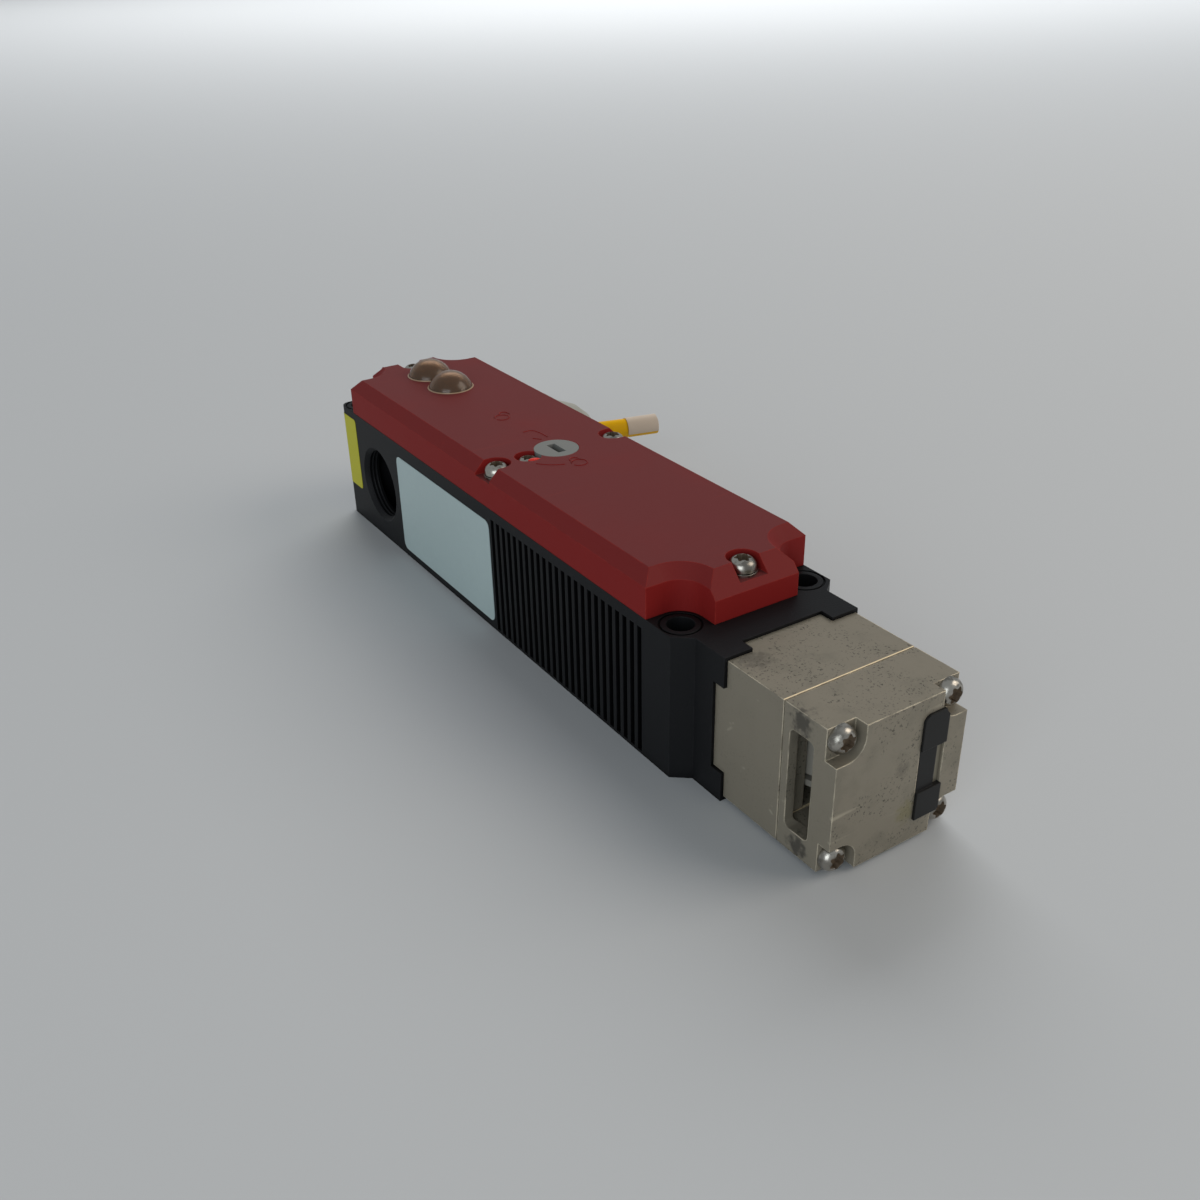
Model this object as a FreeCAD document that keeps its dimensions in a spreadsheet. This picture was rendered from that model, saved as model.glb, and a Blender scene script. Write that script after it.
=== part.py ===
import FreeCAD, Part
import math
import os
import re
import Sketcher
from FreeCAD import Placement, Rotation, Vector

# Tongue interlock switch, in millimetres.
# Origin: centre of the four mounting holes, on the mounting face. +Z is up to the cover, +Y runs from
# the metal head to the rear end, -X is the side with the open conduit entry.

doc = FreeCAD.newDocument("tongue_interlock_switch")
sheet = doc.addObject("Spreadsheet::Sheet", "Sizes")

SIZES = {
    "overshoot": 1.0,
    # Mounting holes
    "hole_spacing_x": 30.0,
    "hole_spacing_y": 147.5,
    "hole_radius": 2.75,
    "hole_ring_radius": 4.3,
    "hole_ring_width": 0.5,
    "hole_ring_depth": 0.4,
    # Housing
    "housing_width": 38.9,
    "housing_height": 31.55,
    "nose_length": 11.2,
    "tail_length": 4.2,
    "waist_width": 31.8,
    "waist_length": 5.5,
    "shoulder_length": 2.9,
    "rear_corner": 2.7,
    "tab_size": 6.34,
    "tab_bite": 5.75,
    "tab_reach": 3.1,
    "side_wall": 3.95,
    "floor_thickness": 3.0,
    "end_wall": 7.2,
    "cavity_corner": 1.0,
    # Cooling grooves on both sides
    "groove_pitch": 2.52,
    "groove_count": 24,
    "groove_width": 1.45,
    "groove_depth": 1.3,
    "groove_start": 7.06,
    "groove_foot": 0.6,
    "groove_head": 2.45,
    # Conduit entries
    "entry_offset": 18.2,
    "entry_height": 15.24,
    "entry_radius": 9.25,
    "entry_rim_radius": 10.1,
    # Cover
    "cover_width": 38.8,
    "cover_height": 9.25,
    "cover_bevel": 2.5,
    "cover_bevel_height": 2.6,
    "scallop_radius": 5.0,
    "cover_nose": 3.9,
    "cover_tail": 1.9,
    "front_slope_length": 4.0,
    "front_slope_height": 4.4,
    "cover_wall": 2.5,
    "cover_roof": 2.5,
    "gasket_width": 1.2,
    "gasket_height": 1.0,
    "gasket_side_margin": 0.5,
    "gasket_end_margin": 0.4,
    # Cover screws
    "near_screw_offset": 0.9,
    "far_screw_offset": 3.4,
    "side_screw_x": 15.5,
    "side_screw_y": -5.15,
    "recess_radius": 3.3,
    "recess_depth": 3.1,
    "screw_head_radius": 2.5,
    "screw_head_height": 2.1,
    "screw_radius": 1.45,
    "screw_clearance": 0.05,
    "screw_edge_share": 0.8,
    "pilot_room": 1.0,
    "screw_tip_room": 0.6,
    "screw_boss_radius": 3.6,
    "cover_boss_radius": 3.8,
    "socket_radius": 1.35,
    "socket_depth": 1.3,
    # Release disc and its lock screw
    "release_y": -5.35,
    "disc_radius": 5.2,
    "disc_height": 3.3,
    "disc_clearance": 0.08,
    "disc_slot_length": 5.3,
    "disc_slot_width": 2.0,
    "disc_slot_depth": 1.6,
    "release_shaft_radius": 3.0,
    "release_bore_radius": 3.5,
    "tower_radius": 6.8,
    "release_flange_radius": 4.4,
    "release_flange_height": 2.0,
    "release_pin_radius": 1.2,
    "pin_engagement": 2.4,
    "release_seal_height": 1.5,
    "lock_screw_x": -7.8,
    "lock_screw_y": -5.85,
    "lock_recess_radius": 3.1,
    "lock_recess_depth": 2.3,
    "lock_screw_head": 2.45,
    "lock_screw_radius": 1.2,
    "lock_screw_grip": 3.5,
    # Indicator lenses
    "lens_y": 47.75,
    "lens_pitch": 12.1,
    "lens_radius": 5.8,
    "lens_dome": 4.2,
    "lens_wall": 1.0,
    "lens_flange": 0.15,
    "lens_flange_height": 1.7,
    "board_width": 18.0,
    "board_length": 20.0,
    "board_thickness": 1.2,
    "board_drop": 4.1,
    "board_post_radius": 1.5,
    "led_radius": 2.5,
    "led_height": 3.4,
    # Head
    "head_width": 30.4,
    "head_height": 29.82,
    "head_axis_z": 15.95,
    "cap_length": 13.4,
    "base_length": 18.3,
    "head_gap": 0.1,
    "parting_chamfer": 0.3,
    "notch_size": 6.25,
    "notch_depth": 2.77,
    "notch_corner": 3.75,
    "head_screw_x": 12.4,
    "head_screw_z": 12.35,
    "head_screw_length": 35.6,
    "head_screw_head_radius": 2.8,
    "head_screw_head_height": 2.3,
    "front_wall": 5.0,
    "pocket_half_width": 13.2,
    "pocket_half_height": 10.45,
    "pocket_margin": 0.1,
    "side_slot_start": 5.5,
    "side_slot_width": 6.0,
    "slot_corner": 1.2,
    "front_slot_inner": 4.4,
    "front_slot_outer": 10.4,
    "front_seat_depth": 1.2,
    "front_seat_top": 11.5,
    "front_seat_bottom": 10.55,
    # Slot cover
    "pad_rise": 0.45,
    "pad_foot": 4.2,
    "pad_corner": 1.5,
    "web_outer": 8.65,
    "block_rise": 0.5,
    "block_height": 5.85,
    "strip_drop": 0.5,
    # Cam wheel and axle
    "cam_setback": 16.0,
    "axle_radius": 2.0,
    "axle_length": 25.4,
    "running_clearance": 0.05,
    "wheel_radius": 8.6,
    "wheel_hub_radius": 3.5,
    "wheel_groove_radius": 6.0,
    "wheel_side_gap": 0.3,
    "band_half_height": 3.6,
    "disc_half_height": 6.15,
    "wheel_disc_height": 1.3,
    "wheel_room": 0.6,
    "cam_turn_angle": 50.0,
    "cam_lift": 3.0,
    "cam_dwell_angle": 38.0,
    "cam_notch_width": 5.0,
    "cam_notch_radius": 5.0,
    "cam_notch_angle": 225.0,
    # Plunger
    "contact_gap": 0.4,
    "moving_gap": 0.3,
    "plunger_radius": 2.5,
    "plunger_nose": 0.3,
    "plunger_bore_room": 0.6,
    "collar_radius": 4.6,
    "collar_height": 1.5,
    "plunger_neck_radius": 1.5,
    "plunger_neck_length": 7.8,
    "guide_radius": 4.4,
    "guide_flange_radius": 6.0,
    "guide_flange_height": 1.5,
    "head_gasket_margin": 1.4,
    "head_gasket_width": 2.5,
    "head_gasket_height": 1.0,
    # Contact blocks
    "block_half_width": 11.0,
    "block_base": 2.0,
    "block_wall": 2.0,
    "block_wall_half_width": 7.0,
    "block_wall_rise": 6.5,
    "bridge_half_length": 10.0,
    "bridge_half_height": 1.6,
    "bridge_thickness": 1.0,
    "post_inner": 6.6,
    "post_outer": 9.0,
    "post_thickness": 1.0,
    "plunger_spring_length": 5.5,
    "spring_wire": 0.35,
    "plunger_spring_radius": 3.6,
    "spring_turns": 4,
    # Lock slide and solenoid
    "lock_travel": 3.0,
    "lock_rod_radius": 1.5,
    "lock_block_length": 22.0,
    "lock_block_gap": 4.0,
    "finger_half_width": 6.0,
    "finger_thickness": 1.5,
    "finger_gap": 2.8,
    "finger_room": 0.95,
    "lock_spring_radius": 5.1,
    "lock_spring_length": 6.95,
    "armature_radius": 4.0,
    "armature_length": 13.4,
    "armature_setback": 1.0,
    "yoke_thickness": 2.5,
    "yoke_half_width": 11.0,
    "yoke_half_height": 10.45,
    "coil_length": 27.5,
    "coil_radius": 10.2,
    "winding_radius": 9.4,
    "bobbin_flange": 1.2,
    # Terminals
    "terminal_gap": 3.5,
    "terminal_length": 8.0,
    "terminal_half_width": 13.0,
    "terminal_height": 10.0,
    "terminal_pitch": 4.2,
    "terminal_count": 6,
    "terminal_screw_radius": 1.0,
    "terminal_head_radius": 1.6,
    "terminal_head_height": 1.2,
    "terminal_screw_length": 4.0,
    "wire_hole_radius": 1.2,
    "wire_hole_height": 3.5,
    # Cable gland
    "thread_gap": 0.05,
    "thread_overhang": 0.6,
    "gland_ring_height": 1.5,
    "gland_ring_radius": 11.4,
    "gland_flats": 24.0,
    "gland_flange_height": 4.5,
    "gland_neck_radius": 9.0,
    "gland_neck_length": 7.5,
    "gland_seat_depth": 5.0,
    "gland_seat_radius": 5.6,
    "gland_bore_radius": 4.0,
    "nut_gap": 0.6,
    "nut_flats_length": 10.5,
    "nut_shoulder_radius": 11.9,
    "nut_dome_length": 9.0,
    "nut_mouth_radius": 6.8,
    "nut_mouth_slope": 2.6,
    "nut_mouth_length": 3.0,
    "nut_hole_radius": 3.8,
    "seal_length": 7.8,
    "seal_room": 0.6,
    "cable_radius": 2.8,
    "cable_tail": 6.0,
    "cable_grip": 1.0,
    "marker_radius": 3.2,
    "marker_gap": 0.1,
    "marker_length": 9.3,
    "marker_start": 1.3,
}

for row, (alias, value) in enumerate(SIZES.items(), start=1):
    sheet.set(f"A{row}", str(value))
    sheet.setAlias(f"A{row}", alias)
doc.recompute()

# Places that follow from the sizes, as formulas in the same words
PLACES = {
    "hole_x": "hole_spacing_x / 2",
    "near_line": "-hole_spacing_y / 2",
    "far_line": "hole_spacing_y / 2",
    "side_x": "housing_width / 2",
    "waist_x": "waist_width / 2",
    "housing_front": "near_line - nose_length",
    "housing_rear": "far_line + tail_length",
    "waist_end": "housing_front + waist_length",
    "shoulder_end": "waist_end + shoulder_length",
    "cavity_x": "side_x - side_wall",
    "cavity_near": "near_line + end_wall",
    "cavity_far": "far_line - end_wall",
    "entry_y": "far_line - entry_offset",
    "cover_top": "housing_height + cover_height",
    "cover_rim": "cover_top - cover_bevel_height",
    "roof_under": "cover_top - cover_roof",
    "recess_floor": "cover_top - recess_depth",
    "lock_floor": "cover_top - lock_recess_depth",
    "cover_front": "near_line - cover_nose",
    "cover_rear": "far_line + cover_tail",
    "cover_room_x": "cover_width / 2 - cover_wall",
    "cover_room_y": "far_line - scallop_radius - cover_wall",
    "gasket_out_x": "side_x - gasket_side_margin",
    "gasket_in_x": "gasket_out_x - gasket_width",
    "gasket_in_y": "far_line - end_wall + gasket_end_margin",
    "gasket_out_y": "gasket_in_y + gasket_width",
    "gasket_floor": "housing_height - gasket_height",
    "near_screw_y": "near_line + near_screw_offset",
    "far_screw_y": "far_line - far_screw_offset",
    "screw_tip": "head_axis_z + guide_flange_radius + screw_tip_room",
    "board_top": "roof_under - board_drop",
    "board_y": "lens_y + lens_pitch / 2",
    "disc_foot": "cover_top - disc_height",
    "release_flange_top": "housing_height - moving_gap",
    "release_flange_low": "release_flange_top - release_flange_height",
    "finger_top": "release_flange_low - finger_gap",
    "pin_foot": "finger_top - pin_engagement",
    "head_x": "head_width / 2",
    "head_low": "head_axis_z - head_height / 2",
    "head_high": "head_axis_z + head_height / 2",
    "parting": "housing_front - base_length",
    "head_front": "parting - cap_length",
    "head_gasket_half": "head_screw_x - head_gasket_margin",
    "screw_seat": "head_front + notch_depth",
    "tab_front": "housing_front - tab_reach",
    "pocket_low": "head_axis_z - pocket_half_height",
    "pocket_high": "head_axis_z + pocket_half_height",
    "slot_low": "pocket_low + pocket_margin",
    "slot_high": "pocket_high - pocket_margin",
    "pad_low": "head_axis_z - front_seat_bottom",
    "pad_high": "head_axis_z + front_seat_top",
    "seat_face": "head_front + front_seat_depth",
    "web_high": "head_axis_z + pad_foot",
    "block_high": "pad_low + block_height",
    "cam_y": "head_front + cam_setback",
    "wheel_reach": "wheel_radius + wheel_room",
    "plunger_tip": "cam_y + wheel_radius + contact_gap",
    "collar_front": "cavity_near + guide_flange_height + cam_lift + moving_gap",
    "collar_back": "collar_front + collar_height",
    "plunger_wall": "collar_back + plunger_spring_length",
    "plunger_neck": "plunger_wall + block_wall + cam_lift + moving_gap + post_thickness + 2 * moving_gap",
    "plunger_end": "plunger_neck + plunger_neck_length",
    "plunger_post": "plunger_neck - cam_lift - moving_gap",
    "plunger_block_end": "plunger_neck + cam_lift + bridge_thickness",
    "lock_front": "plunger_end + moving_gap",
    "lock_block_front": "lock_front + lock_block_gap",
    "lock_block_end": "lock_block_front + lock_block_length",
    "lock_bridge": "lock_block_front + lock_block_length / 2",
    "lock_post": "lock_bridge + bridge_thickness + lock_travel + moving_gap",
    "finger_front": "release_y + release_pin_radius + finger_room",
    "finger_back": "finger_front + finger_thickness",
    "yoke_front": "finger_back + lock_spring_length",
    "coil_front": "yoke_front + yoke_thickness",
    "coil_end": "coil_front + coil_length",
    "yoke_end": "coil_end + yoke_thickness",
    "armature_front": "yoke_front + armature_setback",
    "armature_end": "armature_front + armature_length",
    "core_front": "armature_end + lock_travel + moving_gap",
    "terminal_front": "yoke_end + terminal_gap",
    "terminal_top": "floor_thickness + terminal_height",
    "gland_ring_end": "side_x + gland_ring_height",
    "gland_flange_end": "gland_ring_end + gland_flange_height",
    "gland_neck_end": "gland_flange_end + gland_neck_length",
    "nut_front": "gland_flange_end + nut_gap",
    "nut_shoulder": "nut_front + nut_flats_length",
    "nut_end": "nut_shoulder + nut_dome_length",
    "seal_start": "gland_neck_end - gland_seat_depth",
    "cable_start": "gland_neck_end + cable_grip",
}

# The cut cable stub: straight out of the gland, then a slight bend towards the head
CABLE_ROUTE = [(33.95, 55.55, 15.24), (44.95, 55.55, 15.24), (56.2, 51.95, 15.25), (66.55, 49.15, 15.35)]

WORD = re.compile(r"[a-z_]+[a-z0-9_]*")
subparts = []


def bound(text):
    """Turn a formula in plain words into one that reads the sheet."""
    def swap(match):
        word = match.group(0)
        if word in PLACES:
            return "(" + bound(PLACES[word]) + ")"
        return "Sizes." + word if word in SIZES else word
    return WORD.sub(swap, str(text))


def number(text):
    return float(sheet.evalExpression(bound(text)))


def bind(item, prop, text):
    item.setExpression(prop, bound(text))


def keep(item, label):
    """Name a finished sub-part: its label is the name of its file."""
    item.Label = label
    subparts.append(item)
    return item


# Primitives and booleans

TURN = {"z": Rotation(), "y": Rotation(Vector(1, 0, 0), -90), "x": Rotation(Vector(0, 1, 0), 90)}


def place(item, x="0", y="0", z="0", axis="z"):
    item.Placement = Placement(Vector(0, 0, 0), TURN[axis])
    for letter, text in zip("xyz", (x, y, z)):
        bind(item, "Placement.Base." + letter, text)
    return item


def box(name, x, y, z):
    """A block between two limits along each axis."""
    item = doc.addObject("Part::Box", name)
    for prop, (low, high) in zip(("Length", "Width", "Height"), (x, y, z)):
        bind(item, prop, f"({high}) - ({low})")
    return place(item, x[0], y[0], z[0])


def cylinder(name, axis, centre, span, radius):
    """A cylinder along an axis. The centre gives the two other coordinates in x, y, z order."""
    item = doc.addObject("Part::Cylinder", name)
    bind(item, "Radius", radius)
    bind(item, "Height", f"({span[1]}) - ({span[0]})")
    spots = list(centre)
    spots.insert("xyz".index(axis), span[0])
    return place(item, *spots, axis=axis)


def fuse(name, items):
    joined = doc.addObject("Part::MultiFuse", name)
    joined.Shapes = items
    joined.Refine = True
    return joined


def cut(name, base, tools):
    rest = doc.addObject("Part::Cut", name)
    rest.Base = base
    rest.Tool = tools[0] if len(tools) == 1 else fuse(name + "_tools", tools)
    rest.Refine = True
    return rest


def group(name, items):
    """Loose copies of one fastener or part that share a file."""
    bundle = doc.addObject("Part::Compound", name)
    bundle.Links = items
    return bundle


# Sketches and features

def new_body(name):
    return doc.addObject("PartDesign::Body", name)


def rectangle(x0, x1, y0, y1):
    return [(x0, y0), (x1, y0), (x1, y1), (x0, y1)]


def rounded(x0, x1, y0, y1, radius):
    """A rectangle with four round corners, as corner points and arcs to the next point."""
    r = f"({radius})"
    return [(f"({x0}) + {r}", y0), (f"({x1}) - {r}", y0, radius, 1),
            (x1, f"({y0}) + {r}"), (x1, f"({y1}) - {r}", radius, 1),
            (f"({x1}) - {r}", y1), (f"({x0}) + {r}", y1, radius, 1),
            (x0, f"({y1}) - {r}"), (x0, f"({y0}) + {r}", radius, 1)]


def ring(x, y, radius):
    return ("ring", x, y, radius)


def hexagon(flats):
    """Corners of a hexagon about the origin, from its width across flats."""
    corner = f"({flats}) / 2 / cos(30)"
    spots = []
    for step in range(6):
        angle = 30 + 60 * step
        spots.append((f"{corner} * cos({angle})", f"{corner} * sin({angle})"))
    return spots


def pin_point(sketch, line, end, x, y):
    for kind, text in (("DistanceX", x), ("DistanceY", y)):
        rule = sketch.addConstraint(Sketcher.Constraint(kind, -1, 1, line, end, number(text)))
        sketch.setExpression(f"Constraints[{rule}]", bound(text))


def add_ring(sketch, loop):
    _, x, y, radius = loop
    centre = Vector(number(x), number(y), 0)
    line = sketch.addGeometry(Part.Circle(centre, Vector(0, 0, 1), number(radius)), False)
    pin_point(sketch, line, 3, x, y)
    rule = sketch.addConstraint(Sketcher.Constraint("Radius", line, number(radius)))
    sketch.setExpression(f"Constraints[{rule}]", bound(radius))


def add_outline(sketch, loop):
    """Lines and arcs from point to point. A point may carry the radius and turn of the arc after it."""
    spots = [Vector(number(item[0]), number(item[1]), 0) for item in loop]
    lines = []
    for index, item in enumerate(loop):
        a, b = spots[index], spots[(index + 1) % len(loop)]
        if len(item) == 2:
            lines.append((sketch.addGeometry(Part.LineSegment(a, b), False), 1, 2))
            continue
        radius, turn = number(item[2]), item[3]
        half = (b - a) * 0.5
        side = Vector(-half.y, half.x, 0).normalize() * turn
        centre = a + half + side * math.sqrt(max(radius ** 2 - half.Length ** 2, 0))
        first, last = (a, b) if turn > 0 else (b, a)
        angles = [math.atan2(spot.y - centre.y, spot.x - centre.x) for spot in (first, last)]
        arc = Part.ArcOfCircle(Part.Circle(centre, Vector(0, 0, 1), radius), angles[0], angles[1])
        line = sketch.addGeometry(arc, False)
        lines.append((line, 1, 2) if turn > 0 else (line, 2, 1))
        rule = sketch.addConstraint(Sketcher.Constraint("Radius", line, radius))
        sketch.setExpression(f"Constraints[{rule}]", bound(item[2]))
    for index, item in enumerate(loop):
        line, start, _ = lines[index]
        before, _, end = lines[index - 1]
        sketch.addConstraint(Sketcher.Constraint("Coincident", before, end, line, start))
        pin_point(sketch, line, start, item[0], item[1])


def draw(body, name, plane, height, loops):
    """A sketch at a height over one of the body's own origin planes."""
    sketch = body.newObject("Sketcher::SketchObject", name)
    support = [item for item in body.Origin.OriginFeatures if item.Role == plane][0]
    sketch.AttachmentSupport = [(support, "")]
    sketch.MapMode = "FlatFace"
    sign = "-" if plane == "XZ_Plane" else ""
    bind(sketch, "AttachmentOffset.Base.z", f"{sign}({height})")
    for loop in loops:
        if loop[0] == "ring":
            add_ring(sketch, loop)
        else:
            add_outline(sketch, loop)
    doc.recompute()
    return sketch


def prism(body, name, plane, span, loops, remove=False):
    """Pad or pocket an outline from the low end of a span to its high end."""
    before = body.Shape.Volume if body.Tip else 0.0
    sketch = draw(body, name + "_outline", plane, span[0], loops)
    feature = body.newObject("PartDesign::Pocket" if remove else "PartDesign::Pad", name)
    feature.Profile = sketch
    bind(feature, "Length", f"({span[1]}) - ({span[0]})")
    feature.Reversed = (plane != "XZ_Plane") == remove
    doc.recompute()
    change = body.Shape.Volume - before
    if (change > -1e-6) if remove else (change < 1e-6):
        raise RuntimeError(f"{name} changes nothing")
    return feature


def turned(name, profile, axis="z", x="0", y="0", z="0"):
    """A body turned about its own axis. The profile gives radius and place along the axis."""
    body = new_body(name)
    sketch = draw(body, name + "_profile", "XZ_Plane", "0", [profile])
    feature = body.newObject("PartDesign::Revolution", name + "_turned")
    feature.Profile = sketch
    feature.ReferenceAxis = (sketch, ["V_Axis"])
    feature.Angle = 360
    doc.recompute()
    place(body, x, y, z, axis)
    return body


# Housing

def make_housing():
    body = new_body("housing")
    r = "rear_corner"
    outline = [("-waist_x", "housing_front"), ("waist_x", "housing_front"), ("waist_x", "waist_end"),
               ("side_x", "shoulder_end"), ("side_x", f"housing_rear - {r}", r, 1),
               (f"side_x - {r}", "housing_rear"), (f"-side_x + {r}", "housing_rear", r, 1),
               ("-side_x", f"housing_rear - {r}"), ("-side_x", "shoulder_end"), ("-waist_x", "waist_end")]
    prism(body, "shell", "XY_Plane", ("0", "housing_height"), [outline])
    tabs = []
    for x0, x1 in (("-waist_x", "-waist_x + tab_size"), ("waist_x - tab_size", "waist_x")):
        for z0, z1 in (("0", "tab_size"), ("head_high - tab_bite + head_gap", "housing_height")):
            tabs.append(rectangle(x0, x1, z0, z1))
    for index, tab in enumerate(tabs):
        prism(body, f"corner_tab_{index}", "XZ_Plane", ("tab_front", "housing_front"), [tab])
    cavity = rounded("-cavity_x", "cavity_x", "cavity_near", "cavity_far", "cavity_corner")
    prism(body, "cavity", "XY_Plane", ("floor_thickness", "housing_height"), [cavity], remove=True)
    for side in ("-1", "1"):
        boss = ring(f"{side} * side_screw_x", "side_screw_y", "screw_boss_radius")
        prism(body, "screw_boss", "XY_Plane", ("0", "gasket_floor"), [boss])
    holes = [ring(f"{a} * hole_x", b, "hole_radius") for a in (-1, 1) for b in ("near_line", "far_line")]
    prism(body, "mounting_holes", "XY_Plane", ("0", "housing_height"), holes, remove=True)
    marks = []
    for a in (-1, 1):
        for b in ("near_line", "far_line"):
            marks.append(ring(f"{a} * hole_x", b, "hole_ring_radius"))
            marks.append(ring(f"{a} * hole_x", b, "hole_ring_radius - hole_ring_width"))
    ring_span = ("housing_height - hole_ring_depth", "housing_height")
    prism(body, "hole_rings", "XY_Plane", ring_span, marks, remove=True)
    groove_y = "near_line + groove_start"
    spans = {"left": ("-side_x", "-side_x + groove_depth"), "right": ("side_x - groove_depth", "side_x")}
    for side, x in spans.items():
        slot = rectangle(f"{groove_y} - groove_width / 2", f"{groove_y} + groove_width / 2",
                         "groove_foot", "housing_height - groove_head")
        first = prism(body, f"groove_{side}", "YZ_Plane", x, [slot], remove=True)
        row = body.newObject("PartDesign::LinearPattern", f"grooves_{side}")
        row.Originals = [first]
        row.Direction = (first.Profile[0], ["H_Axis"])
        bind(row, "Length", "groove_pitch * (groove_count - 1)")
        bind(row, "Occurrences", "groove_count")
        body.Tip = row
        doc.recompute()
    entry = [ring("entry_y", "entry_height", "entry_radius")]
    prism(body, "left_entry", "YZ_Plane", ("-side_x", "-cavity_x + cavity_corner"), entry, remove=True)
    prism(body, "right_entry", "YZ_Plane", ("cavity_x - cavity_corner", "side_x"), entry, remove=True)
    base = body.Tip
    names = [f"Edge{index + 1}" for index, edge in enumerate(base.Shape.Edges) if is_entry_mouth(edge)]
    lead = body.newObject("PartDesign::Chamfer", "entry_lead_in")
    lead.Base = (base, names)
    bind(lead, "Size", "entry_rim_radius - entry_radius")
    doc.recompute()
    bore = [ring("0", "head_axis_z", "guide_radius")]
    prism(body, "plunger_bore", "XZ_Plane", ("housing_front", "cavity_near"), bore, remove=True)
    seat = [square("head_gasket_half"), square("head_gasket_half - head_gasket_width")]
    seat_span = ("housing_front", "housing_front + head_gasket_height")
    prism(body, "head_gasket_seat", "XZ_Plane", seat_span, seat, remove=True)
    groove = [rectangle("-gasket_out_x", "gasket_out_x", "-gasket_out_y", "gasket_out_y"),
              rectangle("-gasket_in_x", "gasket_in_x", "-gasket_in_y", "gasket_in_y")]
    prism(body, "gasket_groove", "XY_Plane", ("gasket_floor", "housing_height"), groove, remove=True)
    pilot = "screw_radius + screw_clearance"
    pilots = [ring("0", "near_screw_y", pilot), ring("0", "far_screw_y", pilot)]
    pilots += [ring(f"{side} * side_screw_x", "side_screw_y", pilot) for side in (-1, 1)]
    pilot_span = ("screw_tip - pilot_room", "housing_height")
    prism(body, "cover_screw_pilots", "XY_Plane", pilot_span, pilots, remove=True)
    threads = head_screw_rings(pilot)
    thread_span = ("tab_front", "screw_seat + head_screw_length + pilot_room")
    prism(body, "head_screw_pilots", "XZ_Plane", thread_span, threads, remove=True)
    return keep(body, "housing")


def is_entry_mouth(edge):
    """True for the outer round edge of a conduit entry."""
    curve = edge.Curve
    if not isinstance(curve, Part.Circle) or abs(curve.Radius - number("entry_radius")) > 0.01:
        return False
    return abs(abs(curve.Center.x) - number("side_x")) < 0.01


def square(half):
    return rectangle(f"-({half})", half, f"head_axis_z - ({half})", f"head_axis_z + ({half})")


def head_screw_rings(radius):
    """Four circles where the head screws pass."""
    return [ring(f"{a} * head_screw_x", f"head_axis_z + {b} * head_screw_z", radius)
            for a in (-1, 1) for b in (-1, 1)]


def make_gaskets():
    body = new_body("cover_gasket")
    loops = [rectangle("-gasket_out_x", "gasket_out_x", "-gasket_out_y", "gasket_out_y"),
             rectangle("-gasket_in_x", "gasket_in_x", "-gasket_in_y", "gasket_in_y")]
    prism(body, "cover_gasket_ring", "XY_Plane", ("gasket_floor", "housing_height"), loops)
    keep(body, "cover_gasket")
    body = new_body("head_gasket")
    loops = [square("head_gasket_half"), square("head_gasket_half - head_gasket_width")]
    span = ("housing_front", "housing_front + head_gasket_height")
    prism(body, "head_gasket_ring", "XZ_Plane", span, loops)
    keep(body, "head_gasket")


# Cover

def cover_outline(inset):
    """The cover's edge, moved inwards: two end tabs between quarter-round scallops about the holes."""
    r = f"(scallop_radius + {inset})"
    tab = f"(hole_x - {r})"
    side = f"(cover_width / 2 - {inset})"
    near, far = f"near_line + {r}", f"far_line - {r}"
    front, rear = f"cover_front + {inset}", f"cover_rear - {inset}"
    return [(f"-{tab}", front), (tab, front), (tab, "near_line", r, -1), ("hole_x", near), (side, near),
            (side, far), ("hole_x", far, r, -1), (tab, "far_line"), (tab, rear), (f"-{tab}", rear),
            (f"-{tab}", "far_line", r, -1), ("-hole_x", far), (f"-{side}", far), (f"-{side}", near),
            ("-hole_x", near, r, -1), (f"-{tab}", "near_line")]


def open_recess(x, y, towards, reach):
    """A round screw recess that opens in a straight slot to an edge of the cover."""
    r = "recess_radius"
    if towards == "y":
        low, high = sorted((y, reach), key=number)
        return ring(x, y, r), rectangle(f"{x} - {r}", f"{x} + {r}", low, high)
    low, high = sorted((x, reach), key=number)
    return ring(x, y, r), rectangle(low, high, f"{y} - {r}", f"{y} + {r}")


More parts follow.
